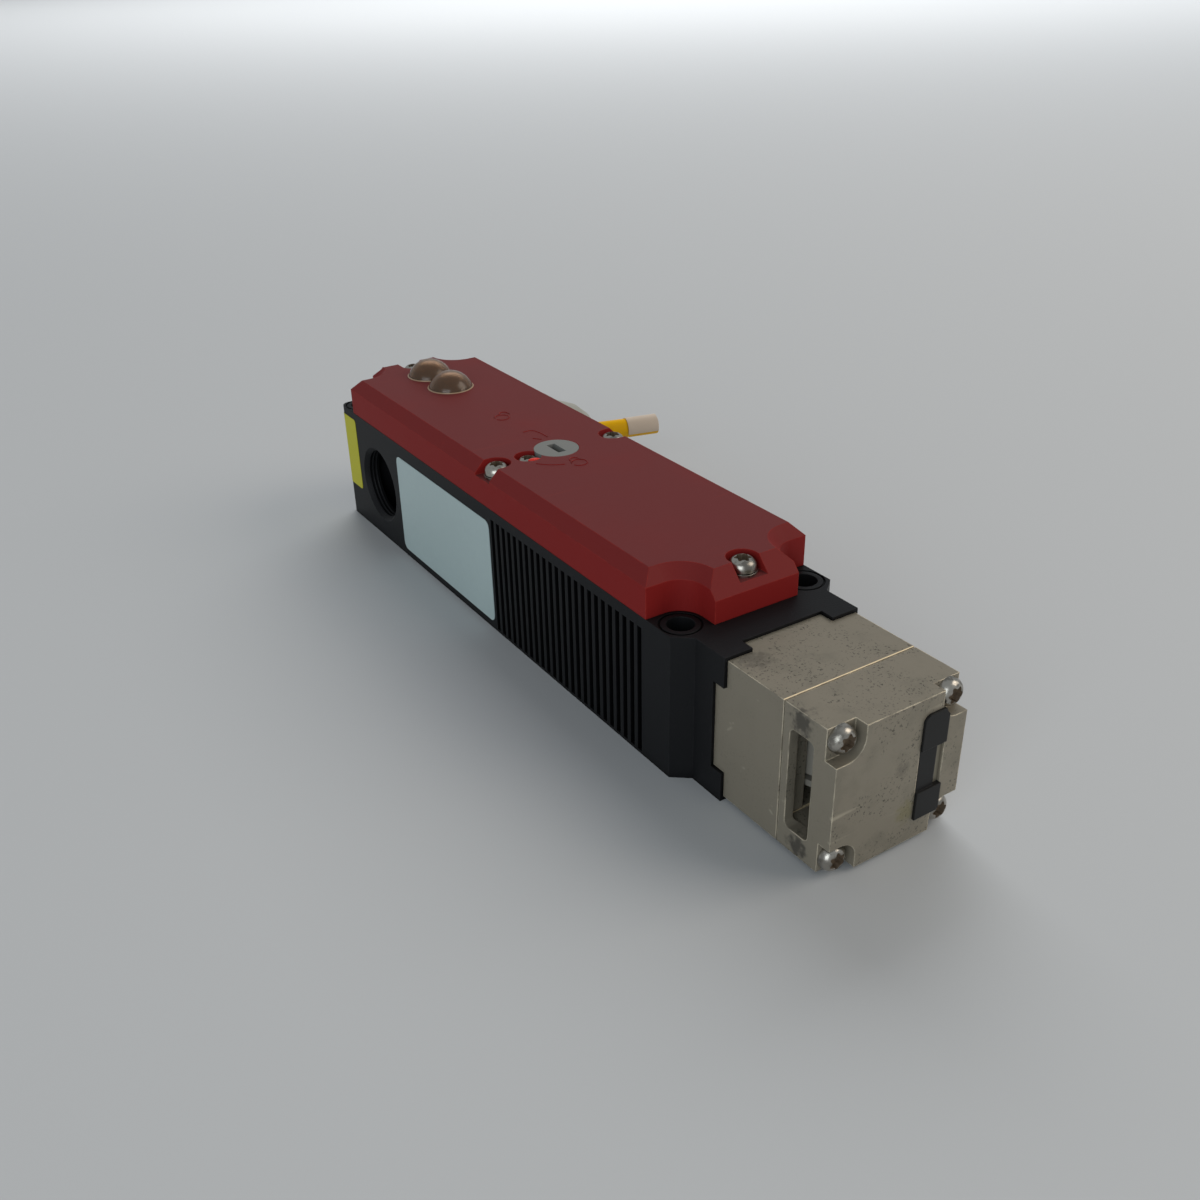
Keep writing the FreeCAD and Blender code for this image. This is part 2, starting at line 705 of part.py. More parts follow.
def make_cover():
    body = new_body("cover")
    prism(body, "cover_wall_block", "XY_Plane", ("housing_height", "cover_rim"), [cover_outline("0")])
    low = draw(body, "bevel_foot", "XY_Plane", "cover_rim", [cover_outline("0")])
    high = draw(body, "bevel_head", "XY_Plane", "cover_top", [cover_outline("cover_bevel")])
    bevel = body.newObject("PartDesign::AdditiveLoft", "bevelled_top")
    bevel.Profile = low
    bevel.Sections = [high]
    bevel.Ruled = True
    doc.recompute()
    slope = [("cover_front", "cover_top - front_slope_height"),
             ("cover_front + front_slope_length", "cover_top"),
             ("cover_front", "cover_top + overshoot"), ("cover_front - overshoot", "cover_top + overshoot"),
             ("cover_front - overshoot", "cover_top - front_slope_height")]
    prism(body, "front_slope", "YZ_Plane", ("-hole_x", "hole_x"), [slope], remove=True)
    room = rounded("-cover_room_x", "cover_room_x", "-cover_room_y", "cover_room_y", "cavity_corner")
    prism(body, "cover_room", "XY_Plane", ("housing_height", "roof_under"), [room], remove=True)
    bosses = []
    for side in (-1, 1):
        bosses.append(("side_boss", f"{side} * side_screw_x", "side_screw_y", "cover_boss_radius"))
    bosses.append(("release_tower", "0", "release_y", "tower_radius"))
    bosses.append(("lock_screw_boss", "lock_screw_x", "lock_screw_y", "lock_recess_radius"))
    for name, x, y, radius in bosses:
        prism(body, name, "XY_Plane", ("housing_height", "roof_under"), [ring(x, y, radius)])
    for side in (-1, 1):
        post = ring(f"{side} * (board_width / 2 - board_post_radius)", "board_y", "board_post_radius")
        prism(body, "board_post", "XY_Plane", ("board_top", "roof_under"), [post])
    recesses = [open_recess("0", "near_screw_y", "y", "cover_front - overshoot"),
                open_recess("0", "far_screw_y", "y", "cover_rear + overshoot"),
                open_recess("side_screw_x", "side_screw_y", "x", "cover_width / 2 + overshoot"),
                open_recess("-side_screw_x", "side_screw_y", "x", "-cover_width / 2 - overshoot")]
    span = ("recess_floor", "cover_top")
    for index, (round_end, slot) in enumerate(recesses):
        prism(body, f"recess_{index}", "XY_Plane", span, [round_end], remove=True)
        prism(body, f"recess_mouth_{index}", "XY_Plane", span, [slot], remove=True)
    lock = [ring("lock_screw_x", "lock_screw_y", "lock_recess_radius")]
    prism(body, "lock_recess", "XY_Plane", ("lock_floor", "cover_top"), lock, remove=True)
    hole = "screw_radius + 2 * screw_clearance"
    holes = [ring("0", "near_screw_y", hole), ring("0", "far_screw_y", hole)]
    holes += [ring(f"{side} * side_screw_x", "side_screw_y", hole) for side in (-1, 1)]
    prism(body, "screw_holes", "XY_Plane", ("housing_height", "recess_floor"), holes, remove=True)
    pilot = [ring("lock_screw_x", "lock_screw_y", "lock_screw_radius + screw_clearance")]
    pilot_span = ("lock_floor - lock_screw_grip - pilot_room", "lock_floor")
    prism(body, "lock_screw_pilot", "XY_Plane", pilot_span, pilot, remove=True)
    lenses = [ring("0", y, "lens_radius") for y in ("lens_y", "lens_y + lens_pitch")]
    prism(body, "lens_holes", "XY_Plane", ("roof_under", "cover_top"), lenses, remove=True)
    seat = [ring("0", "release_y", "disc_radius + disc_clearance")]
    prism(body, "disc_seat", "XY_Plane", ("disc_foot - moving_gap", "cover_top"), seat, remove=True)
    bore = [ring("0", "release_y", "release_bore_radius")]
    prism(body, "release_bore", "XY_Plane", ("housing_height", "disc_foot"), bore, remove=True)
    return keep(body, "cover")


def screw(name, head_radius, head_height, radius, length, x, y, z, axis="z"):
    """A pan-head screw with its seat at its own zero and its shank below it, and a socket in the head."""
    edge = f"screw_edge_share * ({head_height})"
    profile = [("0", f"-({length})"), (radius, f"-({length})"), (radius, "0"), (head_radius, "0"),
               (head_radius, f"{head_height} - {edge}", edge, 1), (f"{head_radius} - {edge}", head_height),
               ("0", head_height)]
    body = turned(name, profile)
    top = f"({head_height})"
    socket = [ring("0", "0", "socket_radius")]
    prism(body, name + "_socket", "XY_Plane", (f"{top} - socket_depth", top), socket, remove=True)
    return place(body, x, y, z, axis)


def make_cover_screws():
    spots = [("0", "near_screw_y"), ("0", "far_screw_y"), ("side_screw_x", "side_screw_y"),
             ("-side_screw_x", "side_screw_y")]
    length = "recess_floor - screw_tip"
    screws = []
    for index, (x, y) in enumerate(spots):
        screws.append(screw(f"cover_screw_{index}", "screw_head_radius", "screw_head_height", "screw_radius",
                            length, x, y, "recess_floor"))
    keep(group("cover_screw_group", screws), "cover_screws")
    lock = screw("lock_screw", "lock_screw_head", "screw_head_height", "lock_screw_radius",
                 "lock_screw_grip", "lock_screw_x", "lock_screw_y", "lock_floor")
    keep(lock, "release_lock_screw")


# Indicators

def make_indicators():
    inner = "lens_radius - lens_wall"
    outer_arc = "(lens_radius ^ 2 + lens_dome ^ 2) / (2 * lens_dome)"
    inner_dome = "(lens_dome - lens_wall)"
    inner_arc = f"(({inner}) ^ 2 + {inner_dome} ^ 2) / (2 * {inner_dome})"
    foot = "roof_under - lens_flange_height"
    rim = "lens_radius + lens_flange"
    for name, y in (("led_lens_front", "lens_y"), ("led_lens_rear", "lens_y + lens_pitch")):
        profile = [(inner, foot), (rim, foot), (rim, "roof_under"), ("lens_radius", "roof_under"),
                   ("lens_radius", "cover_top", outer_arc, 1), ("0", "cover_top + lens_dome"),
                   ("0", f"cover_top + {inner_dome}", inner_arc, -1), (inner, "cover_top")]
        keep(turned(name, profile, y=y), name)
    half = "board_width / 2"
    board_span = ("board_y - board_length / 2", "board_y + board_length / 2")
    board = box("board_plate", (f"-{half}", half), board_span, ("board_top - board_thickness", "board_top"))
    keep(board, "led_board")
    leds = []
    for index, y in enumerate(("lens_y", "lens_y + lens_pitch")):
        profile = [("0", "board_top"), ("led_radius", "board_top"),
                   ("led_radius", "board_top + led_height - led_radius", "led_radius", 1),
                   ("0", "board_top + led_height")]
        leds.append(turned(f"led_{index}", profile, y=y))
    keep(group("led_group", leds), "leds")


# Release by hand

def make_release():
    profile = rectangle("0", "disc_radius", "disc_foot", "cover_top")
    disc = turned("release_disc", profile, y="release_y")
    x, y = "disc_slot_width / 2", "disc_slot_length / 2"
    slot = rectangle(f"-{x}", x, f"-{y}", y)
    prism(disc, "disc_slot", "XY_Plane", ("cover_top - disc_slot_depth", "cover_top"), [slot], remove=True)
    keep(disc, "release_disc")
    top, low = "release_flange_top", "release_flange_low"
    profile = [("0", low), ("release_flange_radius", low), ("release_flange_radius", top),
               ("release_shaft_radius", top), ("release_shaft_radius", "disc_foot"), ("0", "disc_foot")]
    shaft = turned("release_cam", profile, y="release_y")
    pin = [ring("lock_travel", "0", "release_pin_radius")]
    prism(shaft, "eccentric_pin", "XY_Plane", ("pin_foot", low), pin)
    keep(shaft, "release_cam")
    mid = "housing_height + cover_height / 2"
    seal = rectangle("release_shaft_radius + running_clearance", "release_bore_radius",
                f"{mid} - release_seal_height", mid)
    keep(turned("release_seal", seal, y="release_y"), "release_seal")


# Head

def notch(a, b):
    """One screw corner of the cap, cut back to the screw's seat, with a round inner corner."""
    x_out, z_out = f"{a} * (head_x + overshoot)", f"head_axis_z + {b} * (head_height / 2 + overshoot)"
    x_in, z_in = f"{a} * (head_x - notch_size)", f"head_axis_z + {b} * (head_height / 2 - notch_size)"
    x_arc = f"{a} * (head_x - notch_size + notch_corner)"
    z_arc = f"head_axis_z + {b} * (head_height / 2 - notch_size + notch_corner)"
    turn = -a * b
    return [(x_out, z_out), (x_in, z_out), (x_in, z_arc, "notch_corner", -turn), (x_arc, z_in), (x_out, z_in)]


def make_head_cap():
    body = new_body("head_cap")
    block = rectangle("-head_x", "head_x", "head_low", "head_high")
    prism(body, "cap_block", "XZ_Plane", ("head_front", "parting"), [block])
    base = body.Tip
    parting = number("parting")
    names = []
    for index, edge in enumerate(base.Shape.Edges):
        if all(abs(corner.Y - parting) < 0.001 for corner in edge.Vertexes):
            names.append(f"Edge{index + 1}")
    line = body.newObject("PartDesign::Chamfer", "parting_line")
    line.Base = (base, names)
    bind(line, "Size", "parting_chamfer")
    doc.recompute()
    for a in (-1, 1):
        for b in (-1, 1):
            prism(body, "screw_corner", "XZ_Plane", ("head_front", "screw_seat"), [notch(a, b)], remove=True)
    pocket = rounded("-pocket_half_width", "pocket_half_width", "pocket_low", "pocket_high", "slot_corner")
    prism(body, "cap_pocket", "XZ_Plane", ("head_front + front_wall", "parting"), [pocket], remove=True)
    start = "head_front + side_slot_start"
    side = rounded(start, f"{start} + side_slot_width", "slot_low", "slot_high", "slot_corner")
    prism(body, "side_slot", "YZ_Plane", ("-head_x", "-pocket_half_width + overshoot"), [side], remove=True)
    front = rounded("front_slot_inner", "front_slot_outer", "slot_low", "slot_high", "slot_corner")
    prism(body, "front_slot", "XZ_Plane", ("head_front", "head_front + front_wall"), [front], remove=True)
    prism(body, "slot_cover_seat", "XZ_Plane", ("head_front", "seat_face"), [slot_cover_edge()], remove=True)
    prism(body, "cap_screw_holes", "XZ_Plane", ("screw_seat", "parting"),
          head_screw_rings("screw_radius + 2 * screw_clearance"), remove=True)
    return keep(body, "head_cap")


def slot_cover_edge():
    """Edge of the seat in the front plate, with the round corner of the upper pad."""
    return [("front_slot_inner", "pad_low"), ("front_slot_outer", "pad_low"),
            ("front_slot_outer", "pad_high"),
            ("front_slot_inner + pad_corner", "pad_high", "pad_corner", 1),
            ("front_slot_inner", "pad_high - pad_corner")]


def make_head_base():
    body = new_body("head_base")
    block = rectangle("-head_x", "head_x", "head_low", "head_high")
    prism(body, "base_block", "XZ_Plane", ("parting", "housing_front"), [block])
    inner = "waist_x - tab_size - head_gap"
    for a in (-1, 1):
        x0, x1 = sorted((f"{a} * ({inner})", f"{a} * (head_x + overshoot)"), key=number)
        for z0, z1 in (("head_low - overshoot", "tab_size + head_gap"),
                       ("head_high - tab_bite", "head_high + overshoot")):
            span = ("tab_front - head_gap", "housing_front")
            prism(body, "tab_corner", "XZ_Plane", span, [rectangle(x0, x1, z0, z1)], remove=True)
    room = [("-wheel_reach", "parting"), ("pocket_half_width", "parting"), ("pocket_half_width", "cam_y"),
            ("wheel_reach", "cam_y", "wheel_reach", 1), ("0", "cam_y + wheel_reach", "wheel_reach", 1),
            ("-wheel_reach", "cam_y")]
    prism(body, "wheel_room", "XY_Plane", ("pocket_low", "pocket_high"), [room], remove=True)
    r = "axle_radius + running_clearance"
    seat = [(f"-({r})", "parting"), (r, "parting"), (r, "cam_y", r, 1), ("0", f"cam_y + {r}", r, 1),
            (f"-({r})", "cam_y")]
    axle_span = ("head_axis_z - axle_length / 2", "head_axis_z + axle_length / 2")
    prism(body, "axle_seat", "XY_Plane", axle_span, [seat], remove=True)
    bore = [ring("0", "head_axis_z", "plunger_radius + plunger_bore_room")]
    prism(body, "base_bore", "XZ_Plane", ("cam_y", "housing_front"), bore, remove=True)
    prism(body, "base_screw_holes", "XZ_Plane", ("parting", "housing_front"),
          head_screw_rings("screw_radius + 2 * screw_clearance"), remove=True)
    return keep(body, "head_base")


def make_head_screws():
    screws = []
    for a in (-1, 1):
        for b in (-1, 1):
            item = screw(f"head_screw_{len(screws)}", "head_screw_head_radius", "head_screw_head_height",
                         "screw_radius", "head_screw_length", "0", "0", "0")
            item.Placement = Placement(Vector(0, 0, 0), Rotation(Vector(1, 0, 0), 90))
            bind(item, "Placement.Base.x", f"{a} * head_screw_x")
            bind(item, "Placement.Base.y", "screw_seat")
            bind(item, "Placement.Base.z", f"head_axis_z + {b} * head_screw_z")
            screws.append(item)
    keep(group("head_screw_group", screws), "head_screws")


def make_slot_cover():
    body = new_body("slot_cover")
    fit = "head_gap / 2"
    low, high = "pad_low + head_gap / 2", "pad_high - head_gap / 2"
    x0, x1 = f"front_slot_inner + {fit}", f"front_slot_outer - {fit}"
    pad = [(x0, "web_high"), (x1, "web_high"), (x1, high),
           (f"{x0} + pad_corner", high, "pad_corner", 1), (x0, f"{high} - pad_corner")]
    prism(body, "upper_pad", "XZ_Plane", ("head_front - pad_rise", "seat_face"), [pad])
    web = rectangle(x0, "web_outer", "block_high", "web_high")
    prism(body, "web", "XZ_Plane", ("head_front", "seat_face"), [web])
    block = rectangle(x0, x1, low, "block_high")
    prism(body, "lower_block", "XZ_Plane", ("head_front - block_rise", "seat_face"), [block])
    plug = rounded(x0, x1, f"slot_low + {fit}", f"slot_high - {fit}", "slot_corner")
    prism(body, "plug", "XZ_Plane", ("seat_face", "head_front + front_wall"), [plug])
    room = [ring("head_screw_x", f"head_axis_z + {b} * head_screw_z", "head_screw_head_radius + moving_gap")
            for b in (-1, 1)]
    room_span = ("head_front - block_rise", "head_front + front_wall")
    prism(body, "screw_head_room", "XZ_Plane", room_span, room, remove=True)
    keep(body, "slot_cover")
    strip_face = "head_front + strip_drop"
    strip = box("strip_plate", ("web_outer", x1), (strip_face, "seat_face"), ("block_high", "web_high"))
    keep(strip, "slot_strip")


# Cam wheel

def make_cam():
    z0, z1 = "head_axis_z - axle_length / 2 + head_gap", "head_axis_z + axle_length / 2 - head_gap"
    keep(cylinder("axle_pin", "z", ("0", "cam_y"), (z0, z1), "axle_radius"), "cam_axle")
    middle = number("head_axis_z")
    centre = Vector(0, number("cam_y"), 0)

    def drum(radius, low, high):
        return Part.makeCylinder(number(radius), high - low, centre + Vector(0, 0, middle + low))

    hub = number("pocket_half_height - wheel_side_gap")
    outer = number("disc_half_height")
    thin = number("wheel_disc_height")
    band = number("band_half_height")
    wheel = drum("wheel_hub_radius", -hub, hub).fuse(drum("wheel_groove_radius", -outer, outer))
    for low, high in ((-outer, thin - outer), (-band, band), (outer - thin, outer)):
        wheel = wheel.fuse(drum("wheel_radius", low, high))
    slot = Part.makeBox(number("cam_notch_width"), number("wheel_radius"), 2 * hub,
                        Vector(-number("cam_notch_width") / 2, number("cam_notch_radius"), middle - hub))
    slot.rotate(Vector(0, 0, 0), Vector(0, 0, 1), number("cam_notch_angle"))
    slot.translate(centre)
    bore = drum("axle_radius + running_clearance", -hub, hub)
    wheel = wheel.cut([slot, lift_pocket(centre, middle, band), bore])
    item = doc.addObject("Part::Feature", "cam_wheel")
    item.Shape = wheel.removeSplitter()
    keep(item, "cam_wheel")


def lift_pocket(centre, middle, band):
    """The falling flank that the plunger follows: its radius drops evenly with the wheel's turn."""
    top = number("wheel_radius")
    lift = number("cam_lift")
    swing = math.radians(number("cam_turn_angle"))
    dwell = math.radians(number("cam_dwell_angle"))
    spare = number("overshoot")

    def spot(radius, angle):
        return centre + Vector(radius * math.cos(angle), radius * math.sin(angle), middle - band)

    start = math.pi / 2
    steps = 12
    flank = [spot(top - lift * step / steps, start - swing * step / steps) for step in range(steps + 1)]
    curve = Part.BSplineCurve()
    curve.interpolate(flank)
    floor_mid = spot(top - lift, start - swing - dwell / 2)
    floor_end = spot(top - lift, start - swing - dwell)
    rim_end = spot(top + spare, start - swing - dwell)
    rim_mid = spot(top + spare, start - (swing + dwell) / 2)
    rim_start = spot(top + spare, start)
    edges = [curve.toShape(), Part.Arc(flank[-1], floor_mid, floor_end).toShape(),
             Part.LineSegment(floor_end, rim_end).toShape(), Part.Arc(rim_end, rim_mid, rim_start).toShape(),
             Part.LineSegment(rim_start, flank[0]).toShape()]
    return Part.Face(Part.Wire(edges)).extrude(Vector(0, 0, 2 * band))


# Plunger, springs and contacts

def coil_spring(label, radius, low, high):
    """A helical compression spring of square wire along Y on the plunger's axis."""
    wire = number("spring_wire")
    y0, y1 = number(low) + wire, number(high) - wire
    turns = number("spring_turns")
    helix = Part.makeHelix((y1 - y0) / turns, y1 - y0, number(radius))
    corners = []
    for a, b in ((-1, -1), (1, -1), (1, 1), (-1, 1)):
        corners.append(Vector(number(radius) + a * wire, 0, b * wire))
    section = Part.makePolygon(corners + corners[:1])
    solid = Part.Wire(helix).makePipeShell([section], True, True)
    item = doc.addObject("Part::Feature", label)
    item.Shape = solid
    item.Placement = Placement(Vector(0, y0, number("head_axis_z")), TURN["y"])
    keep(item, label)


def make_plunger():
    nose = "plunger_radius - plunger_nose"
    profile = [("0", "plunger_tip"), ("plunger_nose", "plunger_tip"),
               ("plunger_radius", f"plunger_tip + {nose}"), ("plunger_radius", "collar_front"),
               ("collar_radius", "collar_front"), ("collar_radius", "collar_back"),
               ("plunger_radius", "collar_back"), ("plunger_radius", "plunger_neck"),
               ("plunger_neck_radius", "plunger_neck"), ("plunger_neck_radius", "plunger_end"),
               ("0", "plunger_end")]
    keep(turned("plunger", profile, "y", z="head_axis_z"), "plunger")
    bore = "plunger_radius + running_clearance"
    flange_end = "cavity_near + guide_flange_height"
    profile = [(bore, "housing_front"), ("guide_radius", "housing_front"), ("guide_radius", "cavity_near"),
               ("guide_flange_radius", "cavity_near"), ("guide_flange_radius", flange_end),
               (bore, flange_end)]
    keep(turned("plunger_guide", profile, "y", z="head_axis_z"), "plunger_guide")
    coil_spring("plunger_spring", "plunger_spring_radius", "collar_back", "plunger_wall")


def contact_block(label, span, walls, bore, post_y):
    """An insulating block on the case floor: end walls with bores, and two upright contact posts."""
    top = "head_axis_z + block_wall_rise"
    foot = "floor_thickness + block_base"
    block_wall_x = ("-block_wall_half_width", "block_wall_half_width")
    base_x = ("-block_half_width", "block_half_width")
    solids = [box(label + "_base", base_x, span, ("floor_thickness", foot))]
    for index, wall in enumerate(walls):
        solids.append(box(f"{label}_wall_{index}", block_wall_x, wall, (foot, top)))
    hole = cylinder(label + "_bore", "y", ("0", "head_axis_z"), (walls[0][0], walls[-1][1]), bore)
    keep(cut(label, fuse(label + "_solid", solids), [hole]), label)
    posts = []
    post_top = "head_axis_z + bridge_half_height"
    for a, b in (("-post_outer", "-post_inner"), ("post_inner", "post_outer")):
        posts.append(box(f"{label}_post", (a, b), post_y, (foot, post_top)))
    keep(group(label + "_post_group", posts), label.replace("block", "posts"))


def bridge(label, front, bore):
    """The moving contact strip that closes across two posts."""
    half, height = "bridge_half_length", "bridge_half_height"
    span = (front, f"{front} + bridge_thickness")
    strip_z = (f"head_axis_z - {height}", f"head_axis_z + {height}")
    strip = box(label + "_strip", (f"-{half}", half), span, strip_z)
    hole = cylinder(label + "_hole", "y", ("0", "head_axis_z"), span, bore)
    keep(cut(label, strip, [hole]), label)


def make_contacts():
    wall = ("plunger_wall", "plunger_wall + block_wall")
    contact_block("plunger_contact_block", ("plunger_wall", "plunger_block_end"), [wall],
                  "plunger_radius + running_clearance", ("plunger_post - post_thickness", "plunger_post"))
    bridge("plunger_bridge", "plunger_neck", "plunger_neck_radius")
    walls = [("lock_block_front", "lock_block_front + block_wall"),
             ("lock_block_end - block_wall", "lock_block_end")]
    contact_block("lock_contact_block", ("lock_block_front", "lock_block_end"), walls,
                  "lock_rod_radius + running_clearance", ("lock_post", "lock_post + post_thickness"))
    bridge("lock_bridge", "lock_bridge", "lock_rod_radius")


# Lock slide and solenoid

def make_lock():
    rod = cylinder("lock_rod", "y", ("0", "head_axis_z"), ("lock_front", "armature_front"), "lock_rod_radius")
    half = "finger_half_width"
    finger = box("lock_finger", (f"-{half}", half), ("finger_front", "finger_back"),
                 (f"head_axis_z - {half}", "finger_top"))
    keep(fuse("lock_slide_solid", [rod, finger]), "lock_slide")
    core_centre = ("0", "head_axis_z")
    armature_span = ("armature_front", "armature_end")
    keep(cylinder("armature_rod", "y", core_centre, armature_span, "armature_radius"), "armature")
    coil_spring("armature_spring", "lock_spring_radius", "finger_back", "yoke_front")
    bore = "armature_radius + moving_gap"
    x = ("-yoke_half_width", "yoke_half_width")
    z = ("head_axis_z - yoke_half_height", "head_axis_z + yoke_half_height")
    plates = [box("yoke_floor", x, ("yoke_front", "yoke_end"), ("floor_thickness", z[0])),
              box("yoke_front_plate", x, ("yoke_front", "coil_front"), z),
              box("yoke_rear_plate", x, ("coil_end", "yoke_end"), z)]
    holes = [cylinder("yoke_front_hole", "y", core_centre, ("yoke_front", "coil_front"), bore),
             cylinder("yoke_rear_hole", "y", core_centre, ("coil_end", "yoke_end"), "armature_radius")]
    keep(cut("yoke", fuse("yoke_solid", plates), holes), "solenoid_yoke")
    flange = "bobbin_flange"
    profile = [(bore, "coil_front"), ("coil_radius", "coil_front"), ("coil_radius", f"coil_front + {flange}"),
               ("winding_radius", f"coil_front + {flange}"), ("winding_radius", f"coil_end - {flange}"),
               ("coil_radius", f"coil_end - {flange}"), ("coil_radius", "coil_end"), (bore, "coil_end")]
    keep(turned("solenoid_coil", profile, "y", z="head_axis_z"), "solenoid_coil")
    core = cylinder("core_rod", "y", core_centre, ("core_front", "yoke_end"), "armature_radius")
    keep(core, "solenoid_core")


# Terminals

def make_terminals():
    body = new_body("terminal_block")
    end = "terminal_front + terminal_length"
    outline = rectangle("-terminal_half_width", "terminal_half_width", "terminal_front", end)
    prism(body, "terminal_body", "XY_Plane", ("floor_thickness", "terminal_top"), [outline])
    middle = "terminal_front + terminal_length / 2"
    count = int(number("terminal_count"))
    spots = [f"terminal_pitch * ({index} - (terminal_count - 1) / 2)" for index in range(count)]
    pilots = [ring(x, middle, "terminal_screw_radius + screw_clearance") for x in spots]
    prism(body, "terminal_pilots", "XY_Plane", ("terminal_top - terminal_screw_length", "terminal_top"),
          pilots, remove=True)
    wires = [ring(x, "floor_thickness + wire_hole_height", "wire_hole_radius") for x in spots]
    prism(body, "wire_holes", "XZ_Plane", (f"{end} - terminal_length / 2", end), wires, remove=True)
    keep(body, "terminal_block")
    screws = []
    for index, x in enumerate(spots):
        profile = [("0", "terminal_top - terminal_screw_length"),
                   ("terminal_screw_radius", "terminal_top - terminal_screw_length"),
                   ("terminal_screw_radius", "terminal_top"), ("terminal_head_radius", "terminal_top"),
                   ("terminal_head_radius", "terminal_top + terminal_head_height"),
                   ("0", "terminal_top + terminal_head_height")]
        screws.append(turned(f"terminal_screw_{index}", profile, x=x, y=middle))
    keep(group("terminal_screw_group", screws), "terminal_screws")


# Cable gland and cable stub

def on_gland(label, profile):
    return turned(label, profile, "x", y="entry_y", z="entry_height")


def make_gland():
    thread = "entry_radius - thread_gap"
    inside = "cavity_x - thread_overhang"
    profile = [("gland_bore_radius", inside), (thread, inside), (thread, "gland_ring_end"),
               ("gland_neck_radius", "gland_ring_end"), ("gland_neck_radius", "gland_neck_end"),
               ("gland_seat_radius", "gland_neck_end"), ("gland_seat_radius", "seal_start"),
               ("gland_bore_radius", "seal_start")]
    body = on_gland("gland_body", profile)
    collar = [hexagon("gland_flats"), ring("0", "0", "gland_neck_radius - overshoot")]
    prism(body, "gland_hexagon", "XY_Plane", ("gland_ring_end", "gland_flange_end"), collar)
    keep(body, "gland_body")
    o_ring = rectangle(thread, "gland_ring_radius", "side_x", "gland_ring_end")
    keep(on_gland("gland_o_ring", o_ring), "gland_o_ring")
    seal = rectangle("cable_radius", "gland_seat_radius", "seal_start", "seal_start + seal_length")
    keep(on_gland("gland_seal", seal), "gland_seal")
    inner = "gland_neck_radius + running_clearance"
    throat = "seal_start + seal_length + seal_room / 3"
    profile = [(inner, "nut_front"), ("nut_shoulder_radius", "nut_front"),
               ("nut_shoulder_radius", "nut_shoulder"),
               ("nut_mouth_radius + nut_mouth_slope", "nut_end - nut_mouth_length"),
               ("nut_mouth_radius", "nut_end"),
               ("nut_hole_radius", "nut_end"), ("nut_hole_radius", "nut_end - nut_mouth_length"),
               ("gland_seat_radius + seal_room", throat), (inner, "gland_neck_end + seal_room / 2")]
    nut = on_gland("gland_nut", profile)
    flats = [hexagon("gland_flats"), ring("0", "0", "nut_shoulder_radius - overshoot")]
    prism(nut, "nut_hexagon", "XY_Plane", ("nut_front", "nut_shoulder"), flats)
    keep(nut, "gland_nut")
    tail_span = (f"{inside} - cable_tail", "cable_start")
    tail = cylinder("cable_tail_rod", "x", ("entry_y", "entry_height"), tail_span, "cable_radius")
    keep(tail, "cable_inner")


def cord_path(spots):
    """Straight runs joined by tangent arcs, each as large as its two runs allow."""
    edges = []
    here = spots[0]
    for before, corner, after in zip(spots, spots[1:], spots[2:]):
        back, ahead = before - corner, after - corner
        turn = math.pi - back.getAngle(ahead)
        reach = 0.45 * min(back.Length, ahead.Length)
        radius = reach / math.tan(turn / 2)
        print(f"cable bend radius {radius:.1f} mm, {radius / number('2 * cable_radius'):.1f} diameters")
        back.normalize()
        ahead.normalize()
        start, end = corner + back * reach, corner + ahead * reach
        inward = (back + ahead).normalize()
        middle = corner + inward * (radius / math.cos(turn / 2) - radius)
        edges += [Part.LineSegment(here, start).toShape(), Part.Arc(start, middle, end).toShape()]
        here = end
    edges.append(Part.LineSegment(here, spots[-1]).toShape())
    return Part.Wire(edges)


def make_cable():
    start = Vector(*CABLE_ROUTE[0])
    wanted = Vector(number("cable_start"), number("entry_y"), number("entry_height"))
    spots = [Vector(*spot) + wanted - start for spot in CABLE_ROUTE]
    path = cord_path(spots)
    radius = number("cable_radius")
    section = Part.Wire(Part.makeCircle(radius, spots[0], spots[1] - spots[0]))
    item = doc.addObject("Part::Feature", "cable")
    item.Shape = path.makePipeShell([section], True, True)
    ideal = math.pi * radius ** 2 * path.Length
    print(f"cable length {path.Length:.2f} mm, volume over its ideal {item.Shape.Volume / ideal:.4f}")
    keep(item, "cable")
    along = (spots[3] - spots[2]).normalize()
    inner = "cable_radius + marker_gap"
    sleeve = turned("cable_marker", rectangle(inner, "marker_radius", "0", "marker_length"))
    for letter in "xyz":
        sleeve.setExpression("Placement.Base." + letter, None)
    sleeve.Placement = Placement(spots[2] + along * number("marker_start"), Rotation(Vector(0, 0, 1), along))
    keep(sleeve, "cable_marker")


make_housing()
make_gaskets()
make_cover()
make_cover_screws()
make_indicators()
make_release()
make_head_cap()
make_head_base()
make_head_screws()
make_slot_cover()
make_cam()
make_plunger()
make_contacts()
make_lock()
make_terminals()
make_gland()
make_cable()
doc.recompute()

for item in doc.Objects:
    if "Invalid" in item.State or "Error" in item.State:
        raise RuntimeError(f"{item.Label} failed: {item.State}")
for item in subparts:
    if item.Shape.isNull() or not item.Shape.isValid() or not item.Shape.Solids:
        raise RuntimeError(f"{item.Label} has no valid solid")

os.makedirs("parts", exist_ok=True)
for item in subparts:
    item.Shape.exportStep(f"parts/{item.Label}.step")
print(len(subparts), "sub-parts")
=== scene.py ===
# %% [markdown]
# A tongue interlock switch guards the door of a machine. A metal head takes the door's tongue, and a
# long black case under a red cover holds contacts and a solenoid. Its pieces could be modelled here
# again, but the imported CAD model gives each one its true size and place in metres. So this notebook
# starts from that frame, and adds what the eye sees: camera, light, finishes, small parts and cable.
# %% Load the frame
import math

